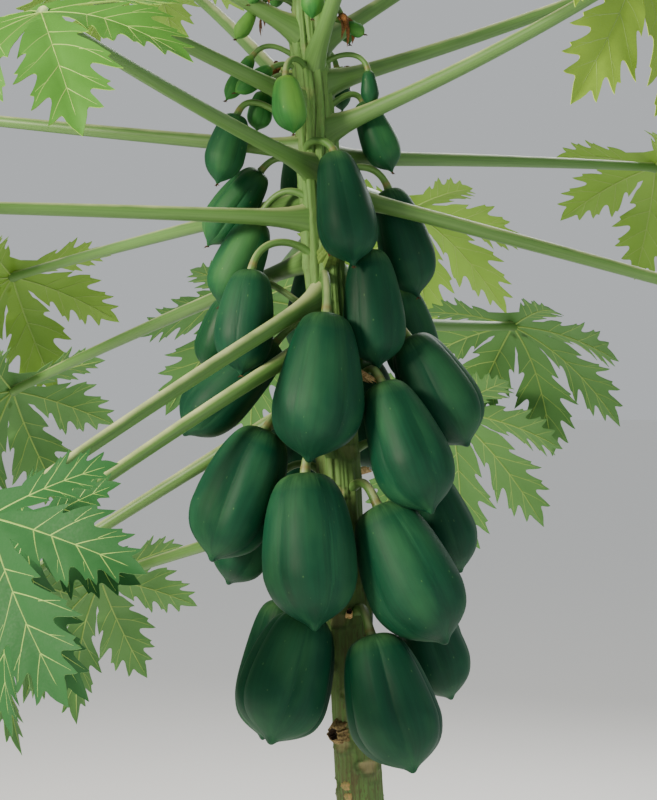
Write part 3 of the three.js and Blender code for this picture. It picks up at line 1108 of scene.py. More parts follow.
@dataclass
class FruitBody:
    """The body of one fruit: five-ribbed, slightly bowed and uneven.

    Attributes:
        row: its place and size.
        rng: source of what makes it differ from its neighbours.
        crease: depth of the grooves between its ribs, as a share of its radius.
        shoulder: how full its shoulder is.
        lower: how full its lower end is.
    """

    row: FruitRow
    rng: np.random.Generator
    crease: float
    shoulder: float
    lower: float
    ribs: int = 5
    rib_depth: float = 0.024
    crowding: float = 0.6
    tip_drift: float = 0.004
    grain_shift: float = 500.0

    def dent(self, share: np.ndarray, angle: np.ndarray) -> np.ndarray:
        """Shape of its ribs, its grooves and what is uneven about them.

        Args:
            share: how far down each spot is, from 0 to 1.
            angle: where round the fruit it is, in radians.

        Returns:
            Share of the plain radius at each spot.
        """
        rng = self.rng
        middle = np.sin(math.pi * share.clip(0, 1)) ** 0.6
        shape = 1 + self.rib_depth * np.cos(self.ribs * angle)
        for i in range(self.ribs):
            sway = 0.05 * np.sin(math.pi * share * rng.uniform(1.0, 2.2) + rng.uniform(0, TURN))
            depth = self.crease * rng.uniform(0.35, 1.0) * middle
            aside = np.abs(turn_between(angle, (i + 0.5) * TURN / self.ribs + sway))
            # a narrow line in a wide hollow, with a low swell on both sides
            line = np.exp(-((aside / 0.045) ** 1.4))
            shape -= depth * (0.6 * line + 0.6 * hump(aside, 0, 0.17) - 0.4 * hump(aside, 0.3, 0.13))
        for waves in (1, 2, 3):
            shape += rng.uniform(0.004, 0.016) * middle * np.cos(waves * angle + rng.uniform(0, TURN))
        return shape

    def points(self, drum: Drum) -> np.ndarray:
        """Places the body's vertices.

        Args:
            drum: the form it is a copy of.

        Returns:
            The vertices.
        """
        row, rng = self.row, self.rng
        out, down, top = row.frame()
        side = unit(np.cross(down, out))
        over = np.cross(side, down)
        share, slim, full = smooth_through(FRUIT_PROFILE, drum.share).T
        weight = self.shoulder + (self.lower - self.shoulder) * ease((share - 0.5) / 0.2)
        width = slim + (full - slim) * weight
        # corners crowd together at the grooves, which are narrow
        angle = drum.angle + self.crowding * np.sin(self.ribs * drum.angle) / self.ribs
        shape = self.dent(share, angle)
        bow = rng.uniform(-0.022, 0.022) * row.length * np.sin(math.pi * share)
        bow -= self.tip_drift * row.swing * row.length * ease((share - 0.45) / 0.55) ** 1.5
        lean_in = rng.uniform(-0.015, 0.015) * row.length * np.sin(math.pi * share)
        radius = width.clip(0) * row.girth / 2 * shape * drum.radial
        aside = bow - radius * np.cos(angle)
        above = lean_in + radius * np.sin(angle)
        return moved(top, (share * row.length, down), (aside, side), (above, over))

    def add_to(self, batch: Batch, drum: Drum, look: int = 0) -> None:
        """Adds the body to a batch, with the places of its streaks.

        Args:
            batch: the piece.
            drum: the form it is a copy of.
            look: place of its finish among the piece's materials.
        """
        points = self.points(drum)
        grain = drum.straight(self.row.girth / 2, drum.share * self.row.length)
        grain[:, 0] += self.rng.uniform(-self.grain_shift, self.grain_shift)
        share = smooth_through(FRUIT_PROFILE, drum.share)[:, 0].clip(0, 1)
        none = np.zeros(len(points))
        batch.add(points, drum.faces, look, grain=grain * MM, along=share, upper=none, joint=none)

    def add_style(self, batch: Batch, ray: Drum, rays: int) -> None:
        """Adds the small dried star at the tip.

        Args:
            batch: the piece.
            ray: the form that its rays are copies of.
            rays: how many it has.
        """
        row, rng = self.row, self.rng
        out, down, top = row.frame()
        around = np.cross(down, out)
        tip = top + down * (row.length - 1.5) - unit(around) * self.tip_drift * row.swing * row.length
        reach = 4.0 + 0.03 * row.girth
        thick = np.linspace(1.4, 0.6, ray.rings + 1)
        for i in range(rays):
            turn = math.radians(i * 360 / rays + rng.uniform(-20, 20))
            aside = unit(out * math.cos(turn) + around * math.sin(turn))
            end = tip + (aside * rng.uniform(0.6, 1.0) + down * rng.uniform(0.5, 1.1)) * reach
            path = bezier([tip, tip + down * reach * 0.5, end], np.linspace(0, 1, ray.rings + 1))
            batch.add(ray.along(path, np.cross(down, aside), thick, thick), ray.faces)


@dataclass
class FruitColumn:
    """The fruit on their curved stalks: five-ribbed bodies with a pointed tip that keeps the
    dried remains of its flower."""

    # a thin wax over deep green skin: broad soft lights, and no mirror
    ripe: PeelFinish = PeelFinish("waxy papaya peel, full grown", 0.58, specular=0.24)
    # the same skin a little brighter, with more bloom
    middling: PeelFinish = PeelFinish(
        "waxy papaya peel, half grown",
        0.56,
        specular=0.27,
        colour="0a4026",
        fresh="1a5832",
        pale="8aab58",
        paleness=0.14,
    )
    # light green and tender, pale about the shoulder
    young: PeelFinish = PeelFinish(
        "waxy papaya peel, young",
        0.55,
        specular=0.3,
        colour="1f5c28",
        fresh="347833",
        pale="93b54a",
        paleness=0.34,
        shoulder=0.7,
    )
    # smooth and firm, with a cream highlight painted along its upper side and a brown ring where the fruit
    # will break off
    stalk: StalkFinish = StalkFinish("fleshy fruit stalk", 0.5, painted_highlight_strength=0.45)
    # dark, dry and without any shine
    dried: PlainFinish = PlainFinish(
        "dried flower remains", 0.85, colour="2b1c12", fleck="57401f", grain=2.4
    )
    sides: int = 90
    rings: int = 44
    small_sides: int = 20
    small_rings: int = 14
    stalk_sides: int = 12
    stalk_rings: int = 22
    stalk_radius: float = 3.4
    stalk_per_girth: float = 0.024
    stalk_sink: float = 5.0
    stalk_pull: float = 0.5
    stalk_lift: float = 38.0
    style_sides: int = 4
    style_rings: int = 3
    style_rays: int = 5
    # fruit below this height have shed the remains of their flower
    shed_below: float = 1410.0
    # girths over which a fruit is full grown and half grown
    grown_girth: float = 80.0
    half_girth: float = 52.0
    crease: float = 0.018
    deep_crease: float = 0.07
    small_crease: float = 0.02
    creased: tuple[int, ...] = (6, 13, 19, 24, 25, 26, 28, 32)
    green_small: tuple[int, ...] = (2, 5, 10)
    seed: int = 11

    def stalk_path(self, row: FruitRow, steps: int) -> np.ndarray:
        """Course of a fruit's stalk, from inside the stem to inside the shoulder.

        Args:
            row: the fruit's place and size.
            steps: how many stretches it has.

        Returns:
            Its points.
        """
        _, down, top = row.frame()
        way = row.bearing + row.turn
        root = STEM.seat(top[2] + row.rise, way, STEM.seat_depth)
        end = top + down * self.stalk_sink
        pull = self.stalk_pull * float(np.linalg.norm(end - root))
        corners = [root, root + outward(way, self.stalk_lift) * pull, end - down * pull, end]
        return bezier(corners, np.linspace(0, 1, steps + 1))

    def add_stalk(self, batch: Batch, row: FruitRow, drum: Drum, look: int) -> None:
        """Adds a fruit's stalk to a batch, swollen at both joints.

        Args:
            batch: the piece.
            row: the fruit's place and size.
            drum: the form it is a copy of.
            look: place of its finish among the piece's materials.
        """
        path = self.stalk_path(row, drum.rings)
        t = np.linspace(0, 1, drum.rings + 1)
        radius = self.stalk_radius + self.stalk_per_girth * row.girth
        swell = radius * (1 + 0.7 * np.exp(-t / 0.09) + 0.4 * np.exp(-(1 - t) / 0.07))
        points = drum.along(path, outward(row.bearing + row.turn + 90), swell, swell)
        length = float(np.linalg.norm(np.diff(path, axis=0), axis=1).sum())
        batch.add(
            points,
            drum.faces,
            look,
            grain=drum.straight(radius, drum.share * length) * MM,
            along=np.zeros(len(points)),
            upper=drum.upper(),
            joint=0.8 * hump(drum.share, 0.9, 0.022),
        )

    def build(self) -> None:
        """Makes each fruit's piece, the small fruit and all the dried tips."""
        rng = np.random.default_rng(self.seed)
        form = Drum(self.sides, self.rings, Ends.POINTED)
        stalk = Drum(self.stalk_sides, self.stalk_rings, Ends.FLAT)
        ray = Drum(self.style_sides, self.style_rings, Ends.POINTED)
        styles = Batch("dried_styles")
        ripe, middling, young = (finish.material() for finish in (self.ripe, self.middling, self.young))
        green = self.stalk.material()
        for number, row in enumerate(FRUITS, 1):
            crease = self.deep_crease if number in self.creased else self.crease
            other = (rng.uniform(0.4, 0.9), rng.uniform(0.3, 0.9))
            body = FruitBody(row, rng, crease, *FRUIT_FULLNESS.get(number, other))
            batch = Batch(f"papaya_{number:02d}")
            body.add_to(batch, form)
            self.add_stalk(batch, row, stalk, 1)
            smaller = middling if row.girth > self.half_girth else young
            skin = ripe if row.girth > self.grown_girth else smaller
            place(batch.build([skin, green], 50), Slot.FRUIT, [f"fruit_{number:02d}"])
            if row.height > self.shed_below:
                body.add_style(styles, ray, self.style_rays)
        bud = Drum(self.small_sides, self.small_rings, Ends.POINTED)
        small = Batch("small_fruit")
        for number, row in enumerate(SMALL_FRUITS):
            body = FruitBody(row, rng, self.small_crease, rng.uniform(0.3, 0.8), rng.uniform(0.0, 0.5))
            body.add_to(small, bud, 2 if number in self.green_small else 0)
            self.add_stalk(small, row, stalk, 1)
            body.add_style(styles, ray, self.style_rays)
        place(small.build([young, green, middling], 50), Slot.FRUIT)
        place(styles.build([self.dried.material()], 40), Slot.FRUIT)


# Half of one lobe's outline, out along its rib and aside from it, in shares of its length:
# four side lobes, the middle two with a tooth on the lower edge, and rounded hollows between
HALF_LOBE = [
    (0.300, 0.100), (0.340, 0.124), (0.385, 0.142), (0.440, 0.160), (0.500, 0.178),
    (0.490, 0.162), (0.479, 0.146), (0.474, 0.133), (0.478, 0.125), (0.490, 0.123),
    (0.508, 0.131), (0.538, 0.150), (0.575, 0.176), (0.610, 0.199), (0.642, 0.220),
    (0.650, 0.202), (0.670, 0.211), (0.722, 0.243), (0.713, 0.219), (0.699, 0.191),
    (0.682, 0.165), (0.670, 0.145), (0.665, 0.131), (0.670, 0.122), (0.684, 0.119),
    (0.706, 0.126), (0.734, 0.140), (0.762, 0.158), (0.788, 0.177), (0.793, 0.159),
    (0.810, 0.163), (0.852, 0.186), (0.843, 0.164), (0.830, 0.139), (0.816, 0.117),
    (0.807, 0.102), (0.806, 0.092), (0.816, 0.086), (0.834, 0.088), (0.858, 0.098),
    (0.886, 0.110), (0.926, 0.126), (0.920, 0.107), (0.909, 0.086), (0.899, 0.070),
    (0.897, 0.060), (0.906, 0.053), (0.926, 0.048), (0.955, 0.033), (0.981, 0.013),
]

# Foot, tip and thickness of the veins of half a lobe, in the same shares
SIDE_VEINS = [
    ((0.330, 0.0), (0.490, 0.160), 0.46),
    ((0.450, 0.0), (0.708, 0.230), 0.5),
    ((0.610, 0.0), (0.842, 0.173), 0.44),
    ((0.750, 0.0), (0.918, 0.114), 0.36),
    ((0.566, 0.1035), (0.630, 0.205), 0.28),
    ((0.707, 0.0727), (0.778, 0.160), 0.26),
]
LOBE_ANGLES = (-126, -82, -40, 0, 40, 82, 126)
LOBE_SHARES = (0.62, 0.82, 0.95, 1.0, 0.95, 0.82, 0.62)


@dataclass
class BladeSpots:
    """Spots of a flat blade of radius 1.

    Attributes:
        flat: where they lie, forward and aside from the stalk's end.
        local: the same, out along the rib of their lobe and aside from it.
        near: how far the nearest vein is.
        lobe: which lobe they belong to.
    """

    flat: np.ndarray
    local: np.ndarray
    near: np.ndarray
    lobe: np.ndarray


@dataclass
class BladePattern:
    """A seven-lobed blade laid flat, of radius 1: its outline is cut by side lobes, and its
    faces follow every vein.

    Attributes:
        seed: what makes it differ from the other patterns.
        spacing: how far apart its inner points lie.
        notch: how far from the hub the cut between two lobes ends, as a share of the shorter one.
        back_notch: the same for the open side of the blade, as a share of its radius.
        notch_steps: how many points lie between the hub and such a cut's end.
        rib_share: how far out a lobe's rib reaches, as a share of the lobe.
        spots: its points.
        triangles: three points each, turned so that they face up.
        rim: edges that belong to one triangle only.
        veins: lobe, both ends and thickness of each.
    """

    seed: int
    spacing: float = 0.03
    notch: float = 0.26
    back_notch: float = 0.13
    notch_steps: int = 4
    rib_share: float = 0.985
    spots: BladeSpots = field(init=False)
    triangles: np.ndarray = field(init=False)
    rim: list[tuple[int, int]] = field(init=False)
    veins: list[tuple[int, np.ndarray, float]] = field(init=False)

    def __post_init__(self) -> None:
        """Draws each lobe, and joins them at the hub."""
        rng = np.random.default_rng(self.seed)
        self.veins = []
        lobes, faces, count = [], [], 0
        for number, (angle, share) in enumerate(zip(LOBE_ANGLES, LOBE_SHARES)):
            local, triangles, near = self.draw_lobe(number, share, rng)
            lobes.append((local @ spin(angle), local, near, np.full(len(local), number)))
            faces.append(triangles + count)
            count += len(local)
        flat, local, near, lobe = (np.concatenate(parts) for parts in zip(*lobes))
        # neighbours share the points of their common edge
        rounded = np.round(flat, 5) + 0.0
        _, first, merged = np.unique(rounded, axis=0, return_index=True, return_inverse=True)
        self.spots = BladeSpots(flat[first], local[first], near[first], lobe[first])
        self.triangles = merged.ravel()[np.vstack(faces)]
        edges = {edge: None for a, b, c in self.triangles.tolist() for edge in ((a, b), (b, c), (c, a))}
        self.rim = [(a, b) for a, b in edges if (b, a) not in edges]

    def gap(self, number: int, side: int) -> tuple[float, float]:
        """Room that a lobe has on one side.

        Args:
            number: which lobe.
            side: 1 for its left side and -1 for its right.

        Returns:
            Half the angle to the next lobe, and the notch's distance from the hub.
        """
        other = number + side
        if not 0 <= other < len(LOBE_ANGLES):
            return math.radians(180 - abs(LOBE_ANGLES[number])), self.back_notch
        half = abs(LOBE_ANGLES[other] - LOBE_ANGLES[number]) / 2
        return math.radians(half), self.notch * min(LOBE_SHARES[number], LOBE_SHARES[other])

    def half_lobe(
        self, number: int, side: int, share: float, rng: np.random.Generator
    ) -> tuple[list, list]:
        """Outline and veins of half a lobe, each half a little different.

        Args:
            number: which lobe.
            side: 1 for its left half and -1 for its right.
            share: the lobe's length.
            rng: source of small differences.

        Returns:
            The points from the hub to the tip, and each vein's foot, tip and thickness.
        """
        half, notch = self.gap(number, side)
        limit = math.tan(min(half, math.radians(60)) * 0.96)
        shift, swell = rng.uniform(0, TURN, 2)
        feet, tips, thick = zip(*SIDE_VEINS)
        out, aside = np.array([*HALF_LOBE, *feet, *tips]).T
        wavy = out + 0.008 * np.sin(9 * out + shift) * (1 - out) / 0.5
        wider = aside * (1 + 0.09 * np.sin(8 * out + swell))
        drawn = np.stack([wavy, side * np.minimum(wider, wavy * limit)], axis=1) * share
        edge, feet, tips = np.split(drawn, np.cumsum([len(HALF_LOBE), len(feet)]))
        way = np.array([math.cos(half), side * math.sin(half)])
        steps = range(1, self.notch_steps + 1)
        return [*(way * notch * k / self.notch_steps for k in steps), *edge], list(zip(feet, tips, thick))

    def draw_lobe(self, number: int, share: float, rng: np.random.Generator) -> tuple[np.ndarray, ...]:
        """Cuts one lobe into triangles that follow its veins.

        Args:
            number: which lobe.
            share: its length.
            rng: source of small differences.

        Returns:
            Points out along the rib and aside from it, triangles, and each point's distance
            to the nearest vein.
        """
        left, left_veins = self.half_lobe(number, 1, share, rng)
        right, right_veins = self.half_lobe(number, -1, share, rng)
        loop = np.array([np.zeros(2), *right, np.array([share, 0.0]), *reversed(left)])
        lines = []
        points = list(loop)
        edges = []
        rib = (np.zeros(2), np.array([share * self.rib_share, 0.0]), 1.0)
        for start, end, thick in (rib, *left_veins, *right_veins):
            self.veins.append((number, np.array([start, end]), thick))
            lines.append((start, end))
            steps = max(2, int(np.linalg.norm(end - start) / self.spacing))
            edges.extend((len(points) + k, len(points) + k + 1) for k in range(steps))
            points.extend(start + (end - start) * k / steps for k in range(steps + 1))
        points.extend(self.fill(loop, lines))
        vectors = [Vector(point) for point in points]
        cut = delaunay_2d_cdt(vectors, edges, [list(range(len(loop)))], 1, CLOSE, False)
        spots = np.array([tuple(spot) for spot in cut[0]])
        fans = [(face[0], face[k], face[k + 1]) for face in cut[2] for k in range(1, len(face) - 1)]
        triangles = np.array(fans)
        triangles = triangles[self.inside(spots[triangles].mean(axis=1), loop)]
        a, b, c = (spots[triangles[:, k]] for k in range(3))
        turned = np.cross(b - a, c - a) < 0
        triangles[turned] = triangles[turned][:, ::-1]
        return spots, triangles, np.min([self.distance(spots, *line) for line in lines], axis=0)

    @staticmethod
    def distance(spots: np.ndarray, start: np.ndarray, end: np.ndarray) -> np.ndarray:
        """How far spots lie from a line.

        Args:
            spots: the spots.
            start: one end of the line.
            end: its other end.

        Returns:
            The distance of each.
        """
        along = end - start
        t = ((spots - start) @ along / along.dot(along)).clip(0, 1)
        return np.linalg.norm(spots - start - np.outer(t, along), axis=1)

    def fill(self, loop: np.ndarray, lines: list[tuple[np.ndarray, np.ndarray]]) -> np.ndarray:
        """Points of a staggered grid inside an outline, clear of it and of the veins.

        Args:
            loop: the outline.
            lines: both ends of each vein.

        Returns:
            The points.
        """
        low, high = loop.min(axis=0), loop.max(axis=0)
        rows = []
        for j, y in enumerate(np.arange(low[1], high[1], self.spacing * math.sqrt(3) / 2)):
            shift = self.spacing / 2 * (j % 2)
            rows.extend((x, y) for x in np.arange(low[0] + shift, high[0], self.spacing))
        grid = np.array(rows)
        clear = np.full(len(grid), np.inf)
        for start, end in [*zip(loop, np.roll(loop, -1, axis=0)), *lines]:
            clear = np.minimum(clear, self.distance(grid, start, end))
        return grid[self.inside(grid, loop) & (clear > self.spacing * 0.42)]

    @staticmethod
    def inside(spots: np.ndarray, loop: np.ndarray) -> np.ndarray:
        """Which spots lie inside an outline.

        Args:
            spots: the spots.
            loop: the outline.

        Returns:
            Whether each does.
        """
        x, y = spots.T
        within = np.zeros(len(spots), bool)
        for start, end in zip(loop, np.roll(loop, -1, axis=0)):
            if start[1] != end[1]:
                crossing = (start[1] > y) != (end[1] > y)
                at = start[0] + (y - start[1]) * (end[0] - start[0]) / (end[1] - start[1])
                within ^= crossing & (x < at)
        return within


@dataclass
class Blade:
    """One blade as it hangs.

    Attributes:
        row: the leaf's place and size.
        hub: where its stalk ends.
        fold: how far the lobes fold up about their ribs.
        droop: how far the whole blade droops at its rim.
        rng: source of what makes it hang differently from the next.
        gate: share of the radius within which it stays even.
        gate_width: over how much more of the radius that ends.
        vein_dip: how far the veins lie under the tissue between them.
        wave: how far the lobes' edges are waved.
        sag: how much further each lobe bends down.
        twist: how far each lobe is twisted.
        phase: where the waves start.
    """

    row: LeafRow
    hub: np.ndarray
    fold: float
    droop: float
    rng: np.random.Generator
    gate: float = 0.25
    gate_width: float = 0.14
    vein_dip: float = 0.005
    wave: float = 0.11
    sag: np.ndarray = field(init=False)
    twist: np.ndarray = field(init=False)
    phase: float = field(init=False)

    def __post_init__(self) -> None:
        """Draws how each lobe sags and twists, and where the waves of its edge lie."""
        self.sag = self.rng.uniform(-0.02, 0.16, len(LOBE_ANGLES))
        self.twist = self.rng.uniform(-0.22, 0.22, len(LOBE_ANGLES))
        self.phase = self.rng.uniform(0, TURN)

    def ways(self) -> tuple[np.ndarray, np.ndarray, np.ndarray]:
        """Directions of the blade.

        Returns:
            Forward, aside and out of its upper side.
        """
        forward = outward(self.row.bearing, self.row.pitch)
        side = outward(self.row.bearing + 90)
        return forward, side, np.cross(forward, side)

    def lay(self, spots: BladeSpots, above: Any) -> np.ndarray:
        """Lays spots of the flat pattern on the blade as it hangs.

        Args:
            spots: the spots.
            above: how far over the blade's middle they lie.

        Returns:
            Their points.
        """
        out, aside = spots.local.T
        radius = np.linalg.norm(spots.flat, axis=1)
        free = ease((radius - self.gate) / self.gate_width)
        beyond = (radius - self.gate).clip(0)
        lift = -self.droop * radius**2 + self.fold * np.abs(aside)
        lift += free * self.vein_dip * (1 - hump(spots.near, 0, 0.022))
        lift -= self.sag[spots.lobe] * beyond**2
        lift += self.twist[spots.lobe] * aside * beyond
        lift += free * self.wave * aside * np.sin(13 * out + self.phase)
        x, y = spots.flat.T * self.row.blade
        forward, side, normal = self.ways()
        return moved(self.hub, (x, forward), (y, side), (lift * self.row.blade + above, normal))


@dataclass
class Crown:
    """The leaves: hollow fleshy stalks with broad clasping feet, and thin lobed blades with
    raised veins."""

    # smooth and waxy, with a long soft highlight painted in cream along the upper side
    stalk: StalkFinish = StalkFinish("fleshy leaf stalk", 0.46)
    # young tissue is yellow green, painted brighter still as the light that shines through the high leaves,
    # and matt as it is still soft
    fresh: PlainFinish = PlainFinish("papaya leaf, fresh upper side", 0.62, colour="7ea52c")
    # grown tissue is a full green
    full: PlainFinish = PlainFinish("papaya leaf, grown upper side", 0.62, specular=0.35, colour="447c28")
    # old tissue is dark, and the low leaves are painted darker still as shade under the crown, with hardly
    # any shine
    deep: PlainFinish = PlainFinish("papaya leaf, old upper side", 0.66, specular=0.22, colour="24552c")
    # undersides are paler and duller than the side above them, and carry the same painted light: brightest
    # on the high leaves, painted shade on the low ones
    under_fresh: PlainFinish = PlainFinish("papaya leaf, fresh underside", 0.7, colour="9cba3a")
    under_full: PlainFinish = PlainFinish("papaya leaf, grown underside", 0.7, colour="78a23a")
    under_deep: PlainFinish = PlainFinish("papaya leaf, old underside", 0.7, colour="548444")
    # veins stand out as fine pale lines
    vein: PlainFinish = PlainFinish("leaf vein", 0.6, colour="88a952", grain=2.0)
    tints: int = 3
    # heights over which leaves are fresh and painted bright, and over which they are grown but not old;
    # lower ones are old and painted in shade
    fresh_above: float = 1780.0
    full_above: float = 1560.0
    patterns: int = 3
    pattern_seed: int = 31
    stalk_sides: int = 20
    stalk_rings: int = 40
    stalk_tip: float = 7.5
    stalk_shoulder: float = 12.0
    stalk_flare: float = 6.5
    stalk_collar: float = 2.2
    flare_share: float = 0.05
    collar_share: float = 0.012
    flare_tall: float = 0.5
    droop: float = 0.34
    fold: float = 0.2
    thickness: float = 0.9
    # blade radius that the veins' own radii are for
    vein_blade: float = 270.0
    rib_radius: float = 1.65
    vein_radius: float = 0.27
    vein_foot: float = 0.015
    vein_sides: int = 5
    vein_rings: int = 9
    per_piece: int = 5
    seed: int = 23

    def add_stalk(
        self, batch: Batch, row: LeafRow, root: np.ndarray, drum: Drum, scale: float
    ) -> np.ndarray:
        """Adds a leaf's stalk to a batch.

        Args:
            batch: the piece.
            row: the leaf's place and size.
            root: where the stalk starts.
            drum: the form it is a copy of.
            scale: how thick it is, as a share of a grown one.

        Returns:
            Where the stalk ends.
        """
        t = np.linspace(0, 1, drum.rings + 1)
        foot = np.exp(-t / self.flare_share)
        wide = self.stalk_tip + (self.stalk_shoulder - self.stalk_tip) * (1 - t) + self.stalk_flare * foot
        wide = scale * (wide + self.stalk_collar * np.exp(-(1 - t) / self.collar_share))
        tall = wide * (1 + self.flare_tall * foot)
        corners = row.stalk_corners(root)
        points = drum.along(bezier(corners, t), outward(row.bearing + 90), wide, tall)
        grain = drum.straight(self.stalk_shoulder, drum.share * row.stalk)
        batch.add(points, drum.faces, grain=grain * MM, upper=drum.upper())
        return corners[-1]

    def add_blade(self, batch: Batch, blade: Blade, pattern: BladePattern, look: int, vein: Drum) -> None:
        """Adds a blade with its veins to a batch.

        Args:
            batch: the piece.
            blade: how it hangs.
            pattern: the flat pattern it is cut by.
            look: place of its upper side's finish among the piece's materials.
            vein: the form its veins are copies of.
        """
        half = self.thickness / 2
        count = len(pattern.spots.flat)
        under = look + self.tints
        points = np.vstack([blade.lay(pattern.spots, half), blade.lay(pattern.spots, -half)])
        batch.add(points, pattern.triangles.tolist(), look)
        batch.add(NO_POINTS, (pattern.triangles[:, ::-1] - count).tolist(), under)
        rim = [(a - 2 * count, a - count, b - count, b - 2 * count) for a, b in pattern.rim]
        batch.add(NO_POINTS, rim, under)
        scale = blade.row.blade / self.vein_blade
        forward, side, _ = blade.ways()
        # a blunt foot, so that the vein meets its rib
        t = np.append(0.0, np.linspace(self.vein_foot, 1, vein.rings))
        for lobe, (foot, tip), thick in pattern.veins:
            turn = spin(LOBE_ANGLES[lobe])
            local = foot + np.outer(t, tip - foot)
            spots = BladeSpots(local @ turn, local, np.zeros(len(t)), np.full(len(t), lobe))
            radius = scale * (self.vein_radius + self.rib_radius * thick * (1 - 0.6 * t))
            heading = (tip - foot) @ turn
            across = side * heading[0] - forward * heading[1]
            path = blade.lay(spots, -0.1 * radius)
            batch.add(vein.along(path, across, radius, radius), vein.faces, 2 * self.tints)

    def build(self) -> None:
        """Makes the pieces of the leaf stalks and of the blades, and those of the shoot."""
        rng = np.random.default_rng(self.seed)
        stalk = Drum(self.stalk_sides, self.stalk_rings, Ends.FLAT)
        vein = Drum(self.vein_sides, self.vein_rings, Ends.POINTED)
        patterns = [BladePattern(self.pattern_seed + k) for k in range(self.patterns)]
        green = self.stalk.material()
        uppers = (self.fresh, self.full, self.deep)
        unders = (self.under_fresh, self.under_full, self.under_deep)
        tissues = [finish.material() for finish in (*uppers, *unders, self.vein)]
        for first in range(0, len(LEAVES), self.per_piece):
            group = first // self.per_piece + 1
            stalks = Batch(f"leaf_stalks_{group}")
            blades = Batch(f"leaf_blades_{group}")
            numbers = range(first, min(first + self.per_piece, len(LEAVES)))
            for number in numbers:
                row = LEAVES[number]
                root = STEM.seat(row.height, row.bearing, STEM.seat_depth)
                hub = self.add_stalk(stalks, row, root, stalk, 1.0)
                blade = Blade(row, hub, self.fold, self.droop, rng)
                # the tier stands both for age and for painted light: high leaves painted bright, low ones
                # painted in shade
                look = (row.height <= self.fresh_above) + (row.height <= self.full_above)
                self.add_blade(blades, blade, patterns[number % self.patterns], look, vein)
            place(stalks.build([green], 60), Slot.LEAF)
            place(blades.build(tissues, 35), Slot.LEAF, [f"leaf_{number + 1:02d}" for number in numbers])
        shoot = YoungShoot()
        stalks = Batch("shoot_stalks")
        blades = Batch("shoot_blades")
        slim = Drum(shoot.stalk_sides, shoot.stalk_rings, Ends.FLAT)
        for i in range(shoot.leaves):
            row = shoot.row(i)
            hub = self.add_stalk(stalks, row, STEM.axis(row.height), slim, shoot.stalk_scale)
            blade = Blade(row, hub, shoot.fold, self.droop, rng)
            self.add_blade(blades, blade, patterns[0], 0, vein)
        shoot.add_bud(stalks)
        place(stalks.build([green], 60), Slot.LEAF, ["shoot_tip"])
        place(blades.build(tissues, 35), Slot.LEAF)


@dataclass(frozen=True)
class YoungShoot:
    """Bud and youngest leaves, upright and still half folded."""

    leaves: int = 5
    bearing: float = 20.0
    turn: float = 137.5
    rise: float = 52.0
    rise_step: float = 7.0
    curl: float = 4.0
    pitch: float = 38.0
    stalk: float = 110.0
    stalk_step: float = 44.0
    stalk_scale: float = 0.5
    stalk_sides: int = 12
    stalk_rings: int = 20
    blade: float = 58.0
    blade_step: float = 26.0
    fold: float = 0.5
    bud_sides: int = 24
    bud_rings: int = 16
    bud_radius: float = 12.0
    bud_height: float = 46.0
    bud_low: float = 0.4
    bud_ribs: int = 5
    # share of the bud's height and of its radius, from its foot to its tip
    bud_form: tuple[tuple[float, float], ...] = (
        (0.0, 0.0), (0.0, 0.7), (0.04, 0.9), (0.4, 1.0), (0.7, 0.8), (0.9, 0.4), (1.0, 0.0),
    )

    def row(self, i: int) -> LeafRow:
        """Place and size of a young leaf.

        Args:
            i: which one, from the oldest.

        Returns:
            Its row.
        """
        left = self.leaves - 1 - i
        return LeafRow(
            STEM.height + self.bud_height * self.bud_low,
            self.bearing + i * self.turn,
            self.rise + i * self.rise_step,
            self.curl,
            self.stalk + left * self.stalk_step,
            self.blade + left * self.blade_step,
            self.pitch,
        )

    def add_bud(self, batch: Batch) -> None:
        """Adds the pointed bud between the young stalks.

        Args:
            batch: the piece.
        """
        drum = Drum(self.bud_sides, self.bud_rings, Ends.POINTED)
        share, width = smooth_through(self.bud_form, drum.share).T
        radius = width.clip(0) * self.bud_radius * (1 + 0.06 * np.cos(self.bud_ribs * drum.angle))
        points = STEM.axis(STEM.height) + drum.straight(radius, share * self.bud_height)
        grain = (points - STEM.axis(STEM.height)) * MM
        batch.add(points, drum.faces, grain=grain, upper=np.zeros(len(points)))


@dataclass(frozen=True)
class FlowerRow:
    """Place of one flower: height and bearing of its foot, its rise, its petals' length, and
    whether it is withered."""

    height: float
    bearing: float
    rise: float
    length: float
    withered: bool


FLOWERS = [
    FlowerRow(1950, 300, 40, 40, False),
    FlowerRow(1972, 170, 46, 38, False),
    FlowerRow(1930, 60, 36, 42, False),
    FlowerRow(2000, 110, 52, 34, False),
    FlowerRow(1990, 20, 50, 34, False),
    FlowerRow(2022, 250, 56, 30, False),
    FlowerRow(1874, 186, 20, 40, True),
    FlowerRow(1904, 214, 22, 38, True),
    FlowerRow(1862, 322, 8, 44, True),
    FlowerRow(1795, 30, 12, 30, True),
    FlowerRow(1790, 150, 20, 36, True),
    FlowerRow(1846, 84, 22, 36, True),
]


